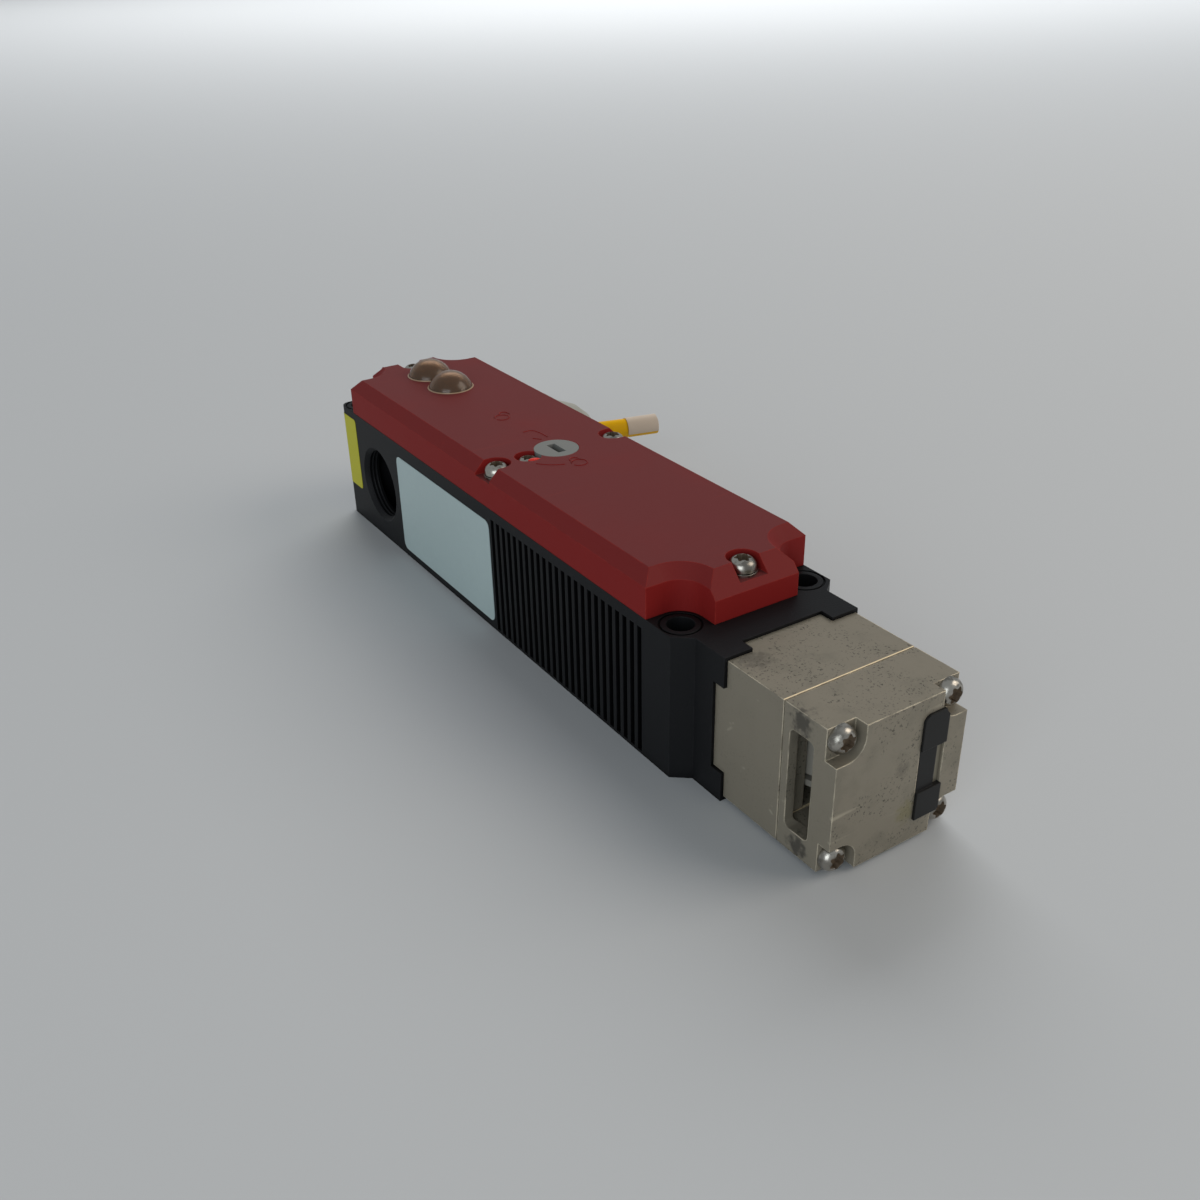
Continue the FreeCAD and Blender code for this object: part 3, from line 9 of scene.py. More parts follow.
import bpy
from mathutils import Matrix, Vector


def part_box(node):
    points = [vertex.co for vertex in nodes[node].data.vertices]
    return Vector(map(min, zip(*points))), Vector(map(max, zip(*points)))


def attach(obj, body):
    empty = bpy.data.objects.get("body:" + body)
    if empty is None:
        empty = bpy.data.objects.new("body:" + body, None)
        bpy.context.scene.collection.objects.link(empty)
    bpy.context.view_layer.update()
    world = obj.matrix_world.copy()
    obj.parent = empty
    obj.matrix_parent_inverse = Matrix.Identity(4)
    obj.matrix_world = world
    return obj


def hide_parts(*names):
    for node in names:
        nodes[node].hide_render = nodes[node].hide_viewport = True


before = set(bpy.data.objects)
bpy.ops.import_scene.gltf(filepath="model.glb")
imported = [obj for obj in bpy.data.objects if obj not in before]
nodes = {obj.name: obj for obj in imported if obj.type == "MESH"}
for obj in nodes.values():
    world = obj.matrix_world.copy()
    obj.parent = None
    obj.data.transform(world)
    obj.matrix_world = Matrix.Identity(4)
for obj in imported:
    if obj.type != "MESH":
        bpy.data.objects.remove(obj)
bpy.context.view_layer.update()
MM = 0.001

# %% [markdown]
# A camera is three facts: where it stands, where it looks and how long its lens is. It could be set
# by eye, but a wrong distance bends every proportion. These were found from corners of the object
# whose places are known, so the picture has the real perspective.
# %% Camera
CAMERA_PLACE = Vector((-0.13264, -0.23120, 0.14465))
CAMERA_TURN = [math.radians(angle) for angle in (61.213, 1.141, -33.066)]
LENS_MM = 36.64
SENSOR_MM = 36.0

camera_data = bpy.data.cameras.new("camera")
camera_data.lens = LENS_MM
camera_data.sensor_width = SENSOR_MM
camera = bpy.data.objects.new("camera", camera_data)
camera.location = CAMERA_PLACE
camera.rotation_euler = CAMERA_TURN
bpy.context.scene.collection.objects.link(camera)
bpy.context.scene.camera = camera
print("camera is", round(CAMERA_PLACE.length, 3), "m from the mounting holes' centre")

# %% [markdown]
# A material is a small graph of nodes. It could be wired by hand in the shader editor. Written out,
# these helpers keep it short: they add a node, feed its sockets by name with a value or with
# another node's output, and blend two colours by a mask.
# %% Helpers for materials
def feed(tree, socket, value):
    """Link another node's output to the socket, or set the socket's own value."""
    if isinstance(value, bpy.types.NodeSocket):
        tree.links.new(value, socket)
    else:
        socket.default_value = value


def add_node(tree, kind, **inputs):
    """Add a node and feed its inputs; underscores stand for blanks in a socket's name."""
    node = tree.nodes.new(kind)
    for name, value in inputs.items():
        feed(tree, node.inputs[name.replace("_", " ")], value)
    return node


def math_node(tree, operation, first, second=0.0):
    """The result of one sum on two values."""
    node = tree.nodes.new("ShaderNodeMath")
    node.operation = operation
    feed(tree, node.inputs[0], first)
    feed(tree, node.inputs[1], second)
    return node.outputs[0]


def fade(tree, mask, strength):
    """A mask at a part of its strength."""
    return math_node(tree, "MULTIPLY", mask, strength)


def remap(tree, value, low, high, new_low=0.0, new_high=1.0):
    """Spread a value's range softly over another one."""
    node = add_node(tree, "ShaderNodeMapRange", Value=value, From_Min=low, From_Max=high,
                    To_Min=new_low, To_Max=new_high)
    node.interpolation_type = "SMOOTHSTEP"
    return node.outputs[0]


def blend_colors(tree, mask, under, over):
    """Colour over, laid on colour under where the mask is one."""
    node = tree.nodes.new("ShaderNodeMix")
    node.data_type = "RGBA"
    feed(tree, node.inputs[0], mask)
    for socket, color in ((node.inputs[6], under), (node.inputs[7], over)):
        feed(tree, socket, color if isinstance(color, bpy.types.NodeSocket) else (*color, 1.0))
    return node.outputs[2]


print("helpers:", [helper.__name__ for helper in (feed, add_node, math_node, fade, remap, blend_colors)])

# %% [markdown]
# A pattern has to stay with its piece when the piece moves, so it reads Object coordinates. These
# helpers give a noise on the piece, one number from two vectors, and the way that a face looks.
# %% Helpers for patterns
def place_on_piece(tree):
    """The place on the piece in metres, which stays with it when it moves."""
    return tree.nodes.new("ShaderNodeTexCoord").outputs["Object"]


def noise_on_piece(tree, scale, detail, roughness=0.5):
    """A noise that stays with the piece. The scale counts its waves in a metre."""
    return add_node(tree, "ShaderNodeTexNoise", Vector=place_on_piece(tree), Scale=scale,
                    Detail=detail, Roughness=roughness).outputs[0]


def vector_measure(tree, operation, first, second):
    """One number from two vectors, such as their distance."""
    node = tree.nodes.new("ShaderNodeVectorMath")
    node.operation = operation
    feed(tree, node.inputs[0], first)
    feed(tree, node.inputs[1], second)
    return node.outputs["Value"]


def facing_parts(tree):
    """How far a face looks along X, Y and Z, as three outputs."""
    normal = tree.nodes.new("ShaderNodeNewGeometry").outputs["Normal"]
    return add_node(tree, "ShaderNodeSeparateXYZ", Vector=normal).outputs


print("patterns:", [helper.__name__ for helper in (noise_on_piece, vector_measure, facing_parts)])

# %% [markdown]
# The same few effects come back on many pieces: rounded and worn edges, moulded grain, specks,
# scratches, dust and smudges. They could be copied into each material. A node group is built once,
# gives only a mask or a normal, and takes its own values wherever it is placed.
# %% Helpers for groups
MASK_ONLY = {"Mask": "NodeSocketFloat"}


def new_group(name, inputs, outputs):
    """An empty node group with its sockets. Inputs carry their usual value."""
    tree = bpy.data.node_groups.new(name, "ShaderNodeTree")
    for label, value in inputs.items():
        kind = "NodeSocketFloat" if isinstance(value, float) else "NodeSocketVector"
        socket = tree.interface.new_socket(name=label, in_out="INPUT", socket_type=kind)
        socket.default_value = value
    for label, kind in outputs.items():
        tree.interface.new_socket(name=label, in_out="OUTPUT", socket_type=kind)
    return tree, tree.nodes.new("NodeGroupInput"), tree.nodes.new("NodeGroupOutput")


def use_group(tree, group, **inputs):
    """Place a group in a material with this material's own values."""
    node = tree.nodes.new("ShaderNodeGroup")
    node.node_tree = group
    for name, value in inputs.items():
        feed(tree, node.inputs[name.replace("_", " ")], value)
    return node


def group_mask(tree, group, **inputs):
    """The mask that a group gives for these values."""
    return use_group(tree, group, **inputs).outputs["Mask"]


print("groups:", len(bpy.data.node_groups))

# %% [markdown]
# No moulded or cast edge is quite sharp, and handling rubs it brighter. Real bevels on every edge
# would make heavy meshes, so a Bevel node gives the normal that a rounded edge would have. Where it
# leaves the flat normal, there is an edge, so the difference is a mask for wear and also for a
# painted highlight: the edge is painted brighter where a rounded edge would catch the light.
# %% Group for edges
EDGE_RADIUS = 0.3 * MM
BEVEL_SAMPLES = 4
EDGE_TURN = (0.01, 0.15)
RUBBED_PATCHES = (0.3, 0.6)

edge_group, start, end = new_group("worn_and_lit_edge", {"Radius": EDGE_RADIUS, "Patch Scale": 300.0},
                                   {"Mask": "NodeSocketFloat", "Normal": "NodeSocketVector"})
bevel = add_node(edge_group, "ShaderNodeBevel", Radius=start.outputs["Radius"])
bevel.samples = BEVEL_SAMPLES
flat_normal = edge_group.nodes.new("ShaderNodeNewGeometry").outputs["Normal"]
likeness = vector_measure(edge_group, "DOT_PRODUCT", bevel.outputs[0], flat_normal)
turned = math_node(edge_group, "SUBTRACT", 1.0, likeness)
patches = noise_on_piece(edge_group, start.outputs["Patch Scale"], detail=3.0)
rubbed = remap(edge_group, patches, *RUBBED_PATCHES)
edges = remap(edge_group, turned, *EDGE_TURN)
# The edge mask, kept to rubbed patches, carries wear and a painted highlight where edges catch the
# light.
feed(edge_group, end.inputs["Mask"], math_node(edge_group, "MULTIPLY", edges, rubbed))
feed(edge_group, end.inputs["Normal"], bevel.outputs[0])
print("edges are rounded by", round(EDGE_RADIUS / MM, 2), "mm")

# %% [markdown]
# A moulding tool leaves a fine grain in plastic, and a casting has a rough skin. Both are too fine
# to model, so a noise is read as height. The Bump node takes the rounded normal and tilts it.
# %% Group for grain
GRAIN_HEIGHT = 0.1 * MM

grain_group, start, end = new_group("moulded_grain",
                                    {"Scale": 2500.0, "Strength": 0.2, "Normal": (0.0, 0.0, 1.0)},
                                    {"Normal": "NodeSocketVector"})
grain = noise_on_piece(grain_group, start.outputs["Scale"], detail=4.0)
bump = add_node(grain_group, "ShaderNodeBump", Height=grain, Strength=start.outputs["Strength"],
                Distance=GRAIN_HEIGHT, Normal=start.outputs["Normal"])
feed(grain_group, end.inputs["Normal"], bump.outputs[0])
print("grain is up to", round(GRAIN_HEIGHT / MM, 2), "mm high")

# %% [markdown]
# Specks are pores in a casting and dirt on plastic. They are the peaks of a rough noise. Alone it
# would strew them evenly, so a second and wider noise keeps them in patches.
# %% Group for specks
SPECK_BORDER = 0.05
SPECK_PATCHES = (0.40, 0.62)

speck_group, start, end = new_group(
    "speckles", {"Scale": 900.0, "Threshold": 0.65, "Patch Scale": 90.0}, MASK_ONLY)
peaks = noise_on_piece(speck_group, start.outputs["Scale"], detail=4.0, roughness=0.65)
threshold = start.outputs["Threshold"]
dots = remap(speck_group, peaks, threshold, math_node(speck_group, "ADD", threshold, SPECK_BORDER))
wide = noise_on_piece(speck_group, start.outputs["Patch Scale"], detail=4.0)
patches = remap(speck_group, wide, *SPECK_PATCHES)
feed(speck_group, end.inputs["Mask"], math_node(speck_group, "MULTIPLY", dots, patches))
print("specks keep to patches above", SPECK_PATCHES[0])

# %% [markdown]
# Scratches come from tools and sliding pieces. Single ones could be drawn on a map of the surface,
# but many faint ones are wanted everywhere, so a noise is drawn out along one direction and only
# its peaks are kept.
# %% Group for scratches
SCRATCH_TURN = (0.5, 0.4, 0.7)
SCRATCH_STRETCH = (0.06, 1.0, 1.0)
SCRATCH_PEAKS = (0.66, 0.74)

scratch_group, start, end = new_group("scratches", {"Scale": 700.0}, MASK_ONLY)
drawn_out = add_node(scratch_group, "ShaderNodeMapping", Vector=place_on_piece(scratch_group),
                     Rotation=SCRATCH_TURN, Scale=SCRATCH_STRETCH)
streaks = add_node(scratch_group, "ShaderNodeTexNoise", Vector=drawn_out.outputs[0],
                   Scale=start.outputs["Scale"], Detail=2.0)
feed(scratch_group, end.inputs["Mask"], remap(scratch_group, streaks.outputs[0], *SCRATCH_PEAKS))
print("scratches are", round(SCRATCH_STRETCH[1] / SCRATCH_STRETCH[0]), "times as long as wide")

# %% [markdown]
# Dust settles on what faces up, so its mask is the normal's Z, broken up by a soft noise. On the
# cover the same mask carries a painted sheen, where faces that look up mirror the pale room. A smudge
# is a blot about one place on a piece: its mask falls with the distance from there, and a noise
# makes its border ragged.
# %% Groups for dust, painted sheen and smudges
LOOKING_UP = (0.4, 1.0)
UPWARD_CLOUDS = (-0.4, 0.55)
SMUDGE_RAGGED = 1.6
SMUDGE_BORDER = (1.1, 1.7)

# The mask of faces that look up: dust on the head, and a painted sheen on the cover's top.
dust_and_sheen_group, start, end = new_group("dust_and_sheen", {"Scale": 60.0}, MASK_ONLY)
upward = remap(dust_and_sheen_group, facing_parts(dust_and_sheen_group)["Z"], *LOOKING_UP)
clouds = noise_on_piece(dust_and_sheen_group, start.outputs["Scale"], detail=6.0)
patchy = remap(dust_and_sheen_group, clouds, *UPWARD_CLOUDS)
feed(dust_and_sheen_group, end.inputs["Mask"], math_node(dust_and_sheen_group, "MULTIPLY", upward, patchy))

smudge_group, start, end = new_group(
    "smudge", {"Center": (0.0, 0.0, 0.0), "Radius": 3.0 * MM}, MASK_ONLY)
reach = vector_measure(smudge_group, "DISTANCE", place_on_piece(smudge_group),
                       start.outputs["Center"])
share = math_node(smudge_group, "DIVIDE", reach, start.outputs["Radius"])
ragged = fade(smudge_group, noise_on_piece(smudge_group, 900.0, detail=5.0), SMUDGE_RAGGED)
border = math_node(smudge_group, "ADD", share, ragged)
feed(smudge_group, end.inputs["Mask"], remap(smudge_group, border, *SMUDGE_BORDER, 1.0, 0.0))
print("groups:", sorted(group.name for group in bpy.data.node_groups))

# %% [markdown]
# A finish starts as one Principled shader. Values that are the same all over sit on the shader's
# own sockets, because a link would hide them from the exported model. A dressed CAD node gets the
# finish in all its slots.
# %% Helpers for finishes
def new_finish(name, color, roughness, metallic=0.0, gloss=0.5):
    """A material with plain values on its shader."""
    material = bpy.data.materials.new(name)
    material.use_nodes = True
    inputs = material.node_tree.nodes["Principled BSDF"].inputs
    inputs["Base Color"].default_value = (*color, 1.0)
    inputs["Roughness"].default_value = roughness
    inputs["Metallic"].default_value = metallic
    inputs["Specular IOR Level"].default_value = gloss
    return material


def shader_of(material):
    """The material's Principled shader."""
    return material.node_tree.nodes["Principled BSDF"]


def grained(material, scale, strength, radius=EDGE_RADIUS):
    """Give a finish rounded edges and fine grain. The mask of its edges comes back."""
    tree = material.node_tree
    edge = use_group(tree, edge_group, Radius=radius)
    grain = use_group(tree, grain_group, Scale=scale, Strength=strength,
                      Normal=edge.outputs["Normal"])
    feed(tree, shader_of(material).inputs["Normal"], grain.outputs["Normal"])
    return edge.outputs["Mask"]


def paint(material, color):
    """Let a colour that changes over the surface drive the shader's base colour."""
    feed(material.node_tree, shader_of(material).inputs["Base Color"], color)


def dress(material, *names):
    """Put the finish on CAD nodes."""
    for name in names:
        for slot in nodes[name].material_slots:
            slot.material = material


print("nodes to dress:", len(nodes))

# %% [markdown]
# The switch was laid on a plain pale sheet. A small sheet would show its end, so this plane is far
# bigger than the picture. It keeps the object's shadow, and it isn't part of the object.
# %% Floor
FLOOR_SIZE = 40.0
FLOOR_COLOR = (0.555, 0.575, 0.59)


def drop_selection():
    """Select nothing: loaded nodes come selected, and an operator acts on all that is."""
    bpy.ops.object.select_all(action="DESELECT")


drop_selection()
bpy.ops.mesh.primitive_plane_add(size=FLOOR_SIZE, location=(0, 0, 0))
floor = bpy.context.object
floor.name = "floor"
floor.data.materials.append(new_finish("pale_floor", FLOOR_COLOR, roughness=0.7, gloss=0.2))
print("floor is", FLOOR_SIZE, "m wide")

# %% [markdown]
# Soft light comes from big lamps: small ones would draw hard shadows. The key lamp stands on the
# right, so the floor is shaded along the side with the label. A fill from the front left keeps that
# side readable. A far lamp lightens the floor behind, and metal doesn't mirror it.
# %% Lights
def soft_lamp(name, place, size, power, color, target=(0, 0, 0)):
    """A square lamp that faces a target."""
    data = bpy.data.lights.new(name, "AREA")
    data.size = size
    data.energy = power
    data.color = color
    lamp = bpy.data.objects.new(name, data)
    lamp.location = place
    lamp.rotation_euler = (Vector(place) - Vector(target)).to_track_quat("Z", "Y").to_euler()
    bpy.context.scene.collection.objects.link(lamp)
    return lamp


key = soft_lamp("key", place=(0.85, -0.65, 0.80), size=0.8, power=5.2, color=(1.0, 0.89, 0.77))
fill = soft_lamp("fill", place=(-1.05, -0.80, 0.48), size=0.95, power=6.6, color=(0.88, 0.95, 1.0))
far = soft_lamp("far", place=(1.9, 2.5, 1.8), size=3.2, power=108.0, color=(1.0, 0.995, 0.99),
                target=(1.9, 2.5, 0))
far.visible_glossy = False
print("lamps in watts:", {lamp.name: round(lamp.data.energy, 1) for lamp in (key, fill, far)})

# %% [markdown]
# The world lights the scene evenly, as a white room does. The camera, and the metal and clear
# pieces, see a paler backdrop in its place. More light would pale the object too; this way the
# backdrop sends none of it onto the object.
# %% World
AMBIENT = 0.222
AMBIENT_COLOR = (0.95, 0.98, 1.0, 1.0)
BACKDROP = 0.42
BACKDROP_COLOR = (0.92, 0.97, 1.0, 1.0)

world = bpy.data.worlds.new("studio")
bpy.context.scene.world = world
world.use_nodes = True
world_tree = world.node_tree
ambient = world_tree.nodes["Background"]
ambient.inputs["Color"].default_value = AMBIENT_COLOR
ambient.inputs["Strength"].default_value = AMBIENT
backdrop = add_node(world_tree, "ShaderNodeBackground", Color=BACKDROP_COLOR, Strength=BACKDROP)
rays = world_tree.nodes.new("ShaderNodeLightPath").outputs
clear_or_camera = math_node(world_tree, "MAXIMUM", rays["Is Camera Ray"], rays["Is Transmission Ray"])
seen = math_node(world_tree, "MAXIMUM", clear_or_camera, rays["Is Glossy Ray"])
either = world_tree.nodes.new("ShaderNodeMixShader")
for socket, source in zip(either.inputs, (seen, ambient.outputs[0], backdrop.outputs[0])):
    feed(world_tree, socket, source)
feed(world_tree, world_tree.nodes["World Output"].inputs["Surface"], either.outputs[0])
bpy.context.scene.view_settings.view_transform = "Standard"
print("ambient", AMBIENT, "and backdrop", BACKDROP)

# %% [markdown]
# The cover is moulded in matt red plastic. One flat red would look like paint on a screen. So its
# top is painted duller and greyer than its walls, a painted sheen where it mirrors the pale room,
# faint scratches and dark specks cross it, and its edges are painted brighter, as rubbed wear and as
# a painted highlight.
# %% Red cover
RED = (0.235, 0.0145, 0.0135)
SHEEN_RED = (0.148, 0.028, 0.028)
BRIGHT_RED = (0.50, 0.05, 0.035)
RED_SPECK = (0.06, 0.02, 0.02)

cover_finish = new_finish("cover_red", RED, roughness=0.55, gloss=0.12)
tree = cover_finish.node_tree
edges = grained(cover_finish, scale=2600.0, strength=0.25)
# Painted sheen: faces that look up are laid in a greyer red, as the pale room's reflection makes them.
dust_and_sheen = group_mask(tree, dust_and_sheen_group, Scale=45.0)
specks = group_mask(tree, speck_group, Scale=420.0, Threshold=0.70, Patch_Scale=60.0)
marks = group_mask(tree, scratch_group, Scale=500.0)
color = blend_colors(tree, dust_and_sheen, RED, SHEEN_RED)
color = blend_colors(tree, fade(tree, marks, strength=0.05), color, BRIGHT_RED)
color = blend_colors(tree, fade(tree, specks, strength=0.5), color, RED_SPECK)
# The edges are painted a brighter red, as rubbed wear and as a painted highlight.
paint(cover_finish, blend_colors(tree, fade(tree, edges, strength=0.7), color, BRIGHT_RED))
dress(cover_finish, "cover")
print("cover_red has", len(tree.nodes), "nodes")

# %% [markdown]
# The case is black moulded plastic with a fine grain. Only its edges catch a little light, and it is
# painted on them as a highlight, in rubbed patches. Little light gets into the grooves between its
# ribs, so Ambient Occlusion, which tells how open a place is, paints shade in them and turns them
# darker still.
# %% Black case
BLACK = (0.0092, 0.0096, 0.0108)
GREY_BLACK = (0.034, 0.035, 0.038)
GROOVE_SHADE_BLACK = (0.0012, 0.0012, 0.0014)
GROOVE_REACH = 4 * MM
GROOVE_SAMPLES = 6
GROOVE_OPENNESS = (0.25, 0.85)

case_finish = new_finish("case_black", BLACK, roughness=0.5, gloss=0.14)
tree = case_finish.node_tree
edges = grained(case_finish, scale=3000.0, strength=0.3, radius=0.25 * MM)
specks = group_mask(tree, speck_group, Scale=500.0, Threshold=0.68, Patch_Scale=80.0)
# A painted highlight with wear on the edges, and pale specks of dirt, lighten the black.
worn_and_lit = math_node(tree, "MAXIMUM", fade(tree, edges, strength=0.7), fade(tree, specks, strength=0.8))
# Painted shade: Ambient Occlusion darkens the grooves between the ribs.
groove = add_node(tree, "ShaderNodeAmbientOcclusion", Distance=GROOVE_REACH)
groove.samples = GROOVE_SAMPLES
openness = remap(tree, groove.outputs["AO"], *GROOVE_OPENNESS)
color = blend_colors(tree, worn_and_lit, BLACK, GREY_BLACK)
paint(case_finish, blend_colors(tree, openness, GROOVE_SHADE_BLACK, color))
dress(case_finish, "housing")

plug_finish = new_finish("plug_black", (0.012, 0.012, 0.012), roughness=0.42, gloss=0.2)
grained(plug_finish, scale=3000.0, strength=0.1)
dress(plug_finish, "slot_cover")
print("case_black has", len(tree.nodes), "nodes")

# %% [markdown]
# The head is die-cast and plated. Its skin could be one grey metal, but age shows on it: dark pores,
# most of them on top and in front, cloudy patches, dust, and soft scratches. Each is a mask that
# lays its own colour over the one before, from the widest effect to the smallest.
# %% Cast head
CAST = (0.285, 0.255, 0.200)
CAST_DARK = (0.075, 0.068, 0.055)
CAST_BRIGHT = (0.95, 0.85, 0.65)
CAST_CLOUDY = (0.20, 0.185, 0.145)
CAST_DUSTY = (0.17, 0.155, 0.125)
SIDEWAYS = (0.4, 0.9)
SIDE_SHARE = 0.2

cast_finish = new_finish("head_zinc", CAST, roughness=0.5, metallic=0.35, gloss=0.3)
cast_tree = cast_finish.node_tree
cast_edges = grained(cast_finish, scale=1800.0, strength=0.22, radius=0.32 * MM)
cast_facing = facing_parts(cast_tree)
sideways = math_node(cast_tree, "ABSOLUTE", cast_facing["X"])
rough_faces = remap(cast_tree, sideways, *SIDEWAYS, 1.0, SIDE_SHARE)
clouds = noise_on_piece(cast_tree, 170.0, detail=8.0, roughness=0.6)
cloudy = remap(cast_tree, clouds, 0.45, 0.75, new_low=0.0, new_high=0.6)
marks = group_mask(cast_tree, scratch_group, Scale=260.0)
dust_and_sheen = group_mask(cast_tree, dust_and_sheen_group, Scale=120.0)
fine = group_mask(cast_tree, speck_group, Scale=1900.0, Threshold=0.575, Patch_Scale=140.0)
coarse = group_mask(cast_tree, speck_group, Scale=420.0, Threshold=0.66, Patch_Scale=90.0)
pores = fade(cast_tree, math_node(cast_tree, "MAXIMUM", fine, coarse), strength=0.9)
cast_color = CAST
for mask, over in ((math_node(cast_tree, "MULTIPLY", cloudy, rough_faces), CAST_CLOUDY),
                   (fade(cast_tree, marks, strength=0.26), CAST_BRIGHT),
                   (fade(cast_tree, dust_and_sheen, strength=0.2), CAST_DUSTY),
                   (math_node(cast_tree, "MULTIPLY", pores, rough_faces), CAST_DARK)):
    cast_color = blend_colors(cast_tree, mask, cast_color, over)
print("head_zinc has", len(cast_tree.nodes), "nodes so far")

# %% [markdown]
# Grime and stains show at a few places of the head. A noise would put them anywhere, so each
# smudge has its own place: above and below the side slot, at the rear corner of the top, and in
# front beside the plug, where a faint yellow stain lies too. The edges, painted bright as rubbed wear
# and as a painted highlight, go over them all.
# %% Smudges on the head
HEAD_LOW, HEAD_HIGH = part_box("head_cap")
HEAD_SIDE, HEAD_FRONT = HEAD_LOW.x, HEAD_LOW.y
GRIME = (0.045, 0.042, 0.038)
STAIN = (0.20, 0.18, 0.055)

# Each row: centre, radius, colour and strength.
smudges = [((HEAD_SIDE, HEAD_FRONT + 9 * MM, 28.7 * MM), 3.6 * MM, GRIME, 0.75),
           ((HEAD_SIDE, HEAD_FRONT + 8 * MM, 3.2 * MM), 3.4 * MM, GRIME, 0.75),
           ((-11 * MM, HEAD_FRONT + 26 * MM, HEAD_HIGH.z), 4.0 * MM, GRIME, 0.4),
           ((0.5 * MM, HEAD_FRONT, 18 * MM), 2.2 * MM, GRIME, 0.3),
           ((2.6 * MM, HEAD_FRONT, 8 * MM), 3.4 * MM, STAIN, 0.4)]
for center, radius, tint, strength in smudges:
    blot = group_mask(cast_tree, smudge_group, Center=center, Radius=radius)
    cast_color = blend_colors(cast_tree, fade(cast_tree, blot, strength), cast_color, tint)
# The edges are painted bright: rubbed wear, and a painted highlight where they catch the light.
cast_color = blend_colors(cast_tree, cast_edges, cast_color, CAST_BRIGHT)
print("smudges:", len(smudges))

# %% [markdown]
# Where the two castings of the head meet, a bright line is painted along their top edges: a painted
# highlight. A thin strip of geometry would stand proud, so the line is a mask too: it is made from the
# distance to the parting plane, and kept to the faces that look up, where the light falls on it.
# %% Bright parting line
PARTING = HEAD_FRONT + 13.4 * MM
PARTING_HIGHLIGHT = (1.0, 0.82, 0.54)
LINE_CORE, LINE_EDGE = 0.16 * MM, 0.34 * MM
UPPER_FACES = 0.3

spot = add_node(cast_tree, "ShaderNodeSeparateXYZ", Vector=place_on_piece(cast_tree))
from_plane = math_node(cast_tree, "SUBTRACT", spot.outputs["Y"], PARTING)
distance = math_node(cast_tree, "ABSOLUTE", from_plane)
near_plane = remap(cast_tree, distance, LINE_CORE, LINE_EDGE, 1.0, 0.0)
upper = math_node(cast_tree, "GREATER_THAN", cast_facing["Z"], UPPER_FACES)
line_mask = math_node(cast_tree, "MULTIPLY", near_plane, upper)
# Painted highlight: a bright line on the faces that look up, along the parting plane.
paint(cast_finish, blend_colors(cast_tree, line_mask, cast_color, PARTING_HIGHLIGHT))
dress(cast_finish, "head_cap", "head_base")
print("parting line lies", round((PARTING - HEAD_FRONT) / MM, 1), "mm behind the front")

# %% [markdown]
# The two lenses are domes of smoky plastic. Brown paint would look blind, so light passes into them
# and finds the lamps below. Transmission and IOR are plain values on the shader.
# %% Smoky lenses
SMOKE = (0.30, 0.17, 0.09)
LENS_CLEARNESS = 0.75
LENS_IOR = 1.45

lens_finish = new_finish("lens_smoke", SMOKE, roughness=0.2, gloss=0.4)
shader_of(lens_finish).inputs["Transmission Weight"].default_value = LENS_CLEARNESS
shader_of(lens_finish).inputs["IOR"].default_value = LENS_IOR
dress(lens_finish, "led_lens_front", "led_lens_rear")
print("lenses let", LENS_CLEARNESS, "of the light through")

# %% [markdown]
# The other pieces have plain finishes. Many of them are inside and show only through an opening, so
# a table with one row for each finish does for them: colour, roughness, metal, gloss and the nodes.
# %% Plain finishes
PLAIN_GRAIN = {"scale": 2500.0, "strength": 0.08, "radius": 0.15 * MM}
plain = {
    "disc_grey": ((0.20, 0.205, 0.195), 0.5, 0.0, 0.2, ["release_disc"]),
    "gland_grey": ((0.36, 0.36, 0.32), 0.5, 0.0, 0.25, ["gland_body", "gland_nut"]),
    "wheel_steel": ((0.42, 0.40, 0.35), 0.5, 0.3, 0.4, ["cam_wheel"]),
    "strip_steel": ((0.24, 0.22, 0.17), 0.45, 0.5, 0.4, ["slot_strip"]),
    "ground_steel": ((0.45, 0.45, 0.45), 0.3, 1.0, 0.5,
                     ["cam_axle", "plunger", "lock_slide", "release_cam", "plunger_spring",
                      "armature_spring"]),
    "soft_iron": ((0.33, 0.33, 0.34), 0.4, 1.0, 0.5,
                  ["armature", "solenoid_yoke", "solenoid_core"]),
    "brass": ((0.60, 0.42, 0.16), 0.3, 1.0, 0.5,
              ["plunger_guide", "plunger_bridge", "lock_bridge", "plunger_contact_posts",
               "lock_contact_posts"]),
    "insulator": ((0.50, 0.43, 0.30), 0.5, 0.0, 0.4,
                  ["plunger_contact_block", "lock_contact_block", "terminal_block"]),
    "terminal_zinc": ((0.55, 0.55, 0.53), 0.35, 1.0, 0.5, ["terminal_screws"]),
    "winding": ((0.28, 0.08, 0.03), 0.3, 0.0, 0.5, ["solenoid_coil"]),
    "board": ((0.02, 0.12, 0.05), 0.35, 0.0, 0.5, ["led_board"]),
    "led_resin": ((0.55, 0.50, 0.38), 0.2, 0.0, 0.5, ["leds"]),
    "rubber": ((0.012, 0.012, 0.012), 0.7, 0.0, 0.2,
               ["cover_gasket", "head_gasket", "release_seal", "gland_seal", "gland_o_ring"]),
    "inner_sheath": ((0.50, 0.25, 0.0), 0.45, 0.0, 0.2, ["cable_inner"]),
}
for name, (color, roughness, metallic, gloss, names) in plain.items():
    finish = new_finish(name, color, roughness, metallic, gloss)
    grained(finish, **PLAIN_GRAIN)
    dress(finish, *names)
print("plain finishes:", len(plain), "on", sum(len(row[-1]) for row in plain.values()), "nodes")

# %% [markdown]
# The small pieces are modelled as by hand, with operators that act on the active object. These
# helpers make one object active, select nothing in its mesh, apply its last modifier, cut one
# object out of another, and join several into one piece whose place is in its mesh.
# %% Helpers for modelling
def activate(piece):
    """Make one object the only selected one, and active."""
    drop_selection()
    piece.select_set(True)
    bpy.context.view_layer.objects.active = piece


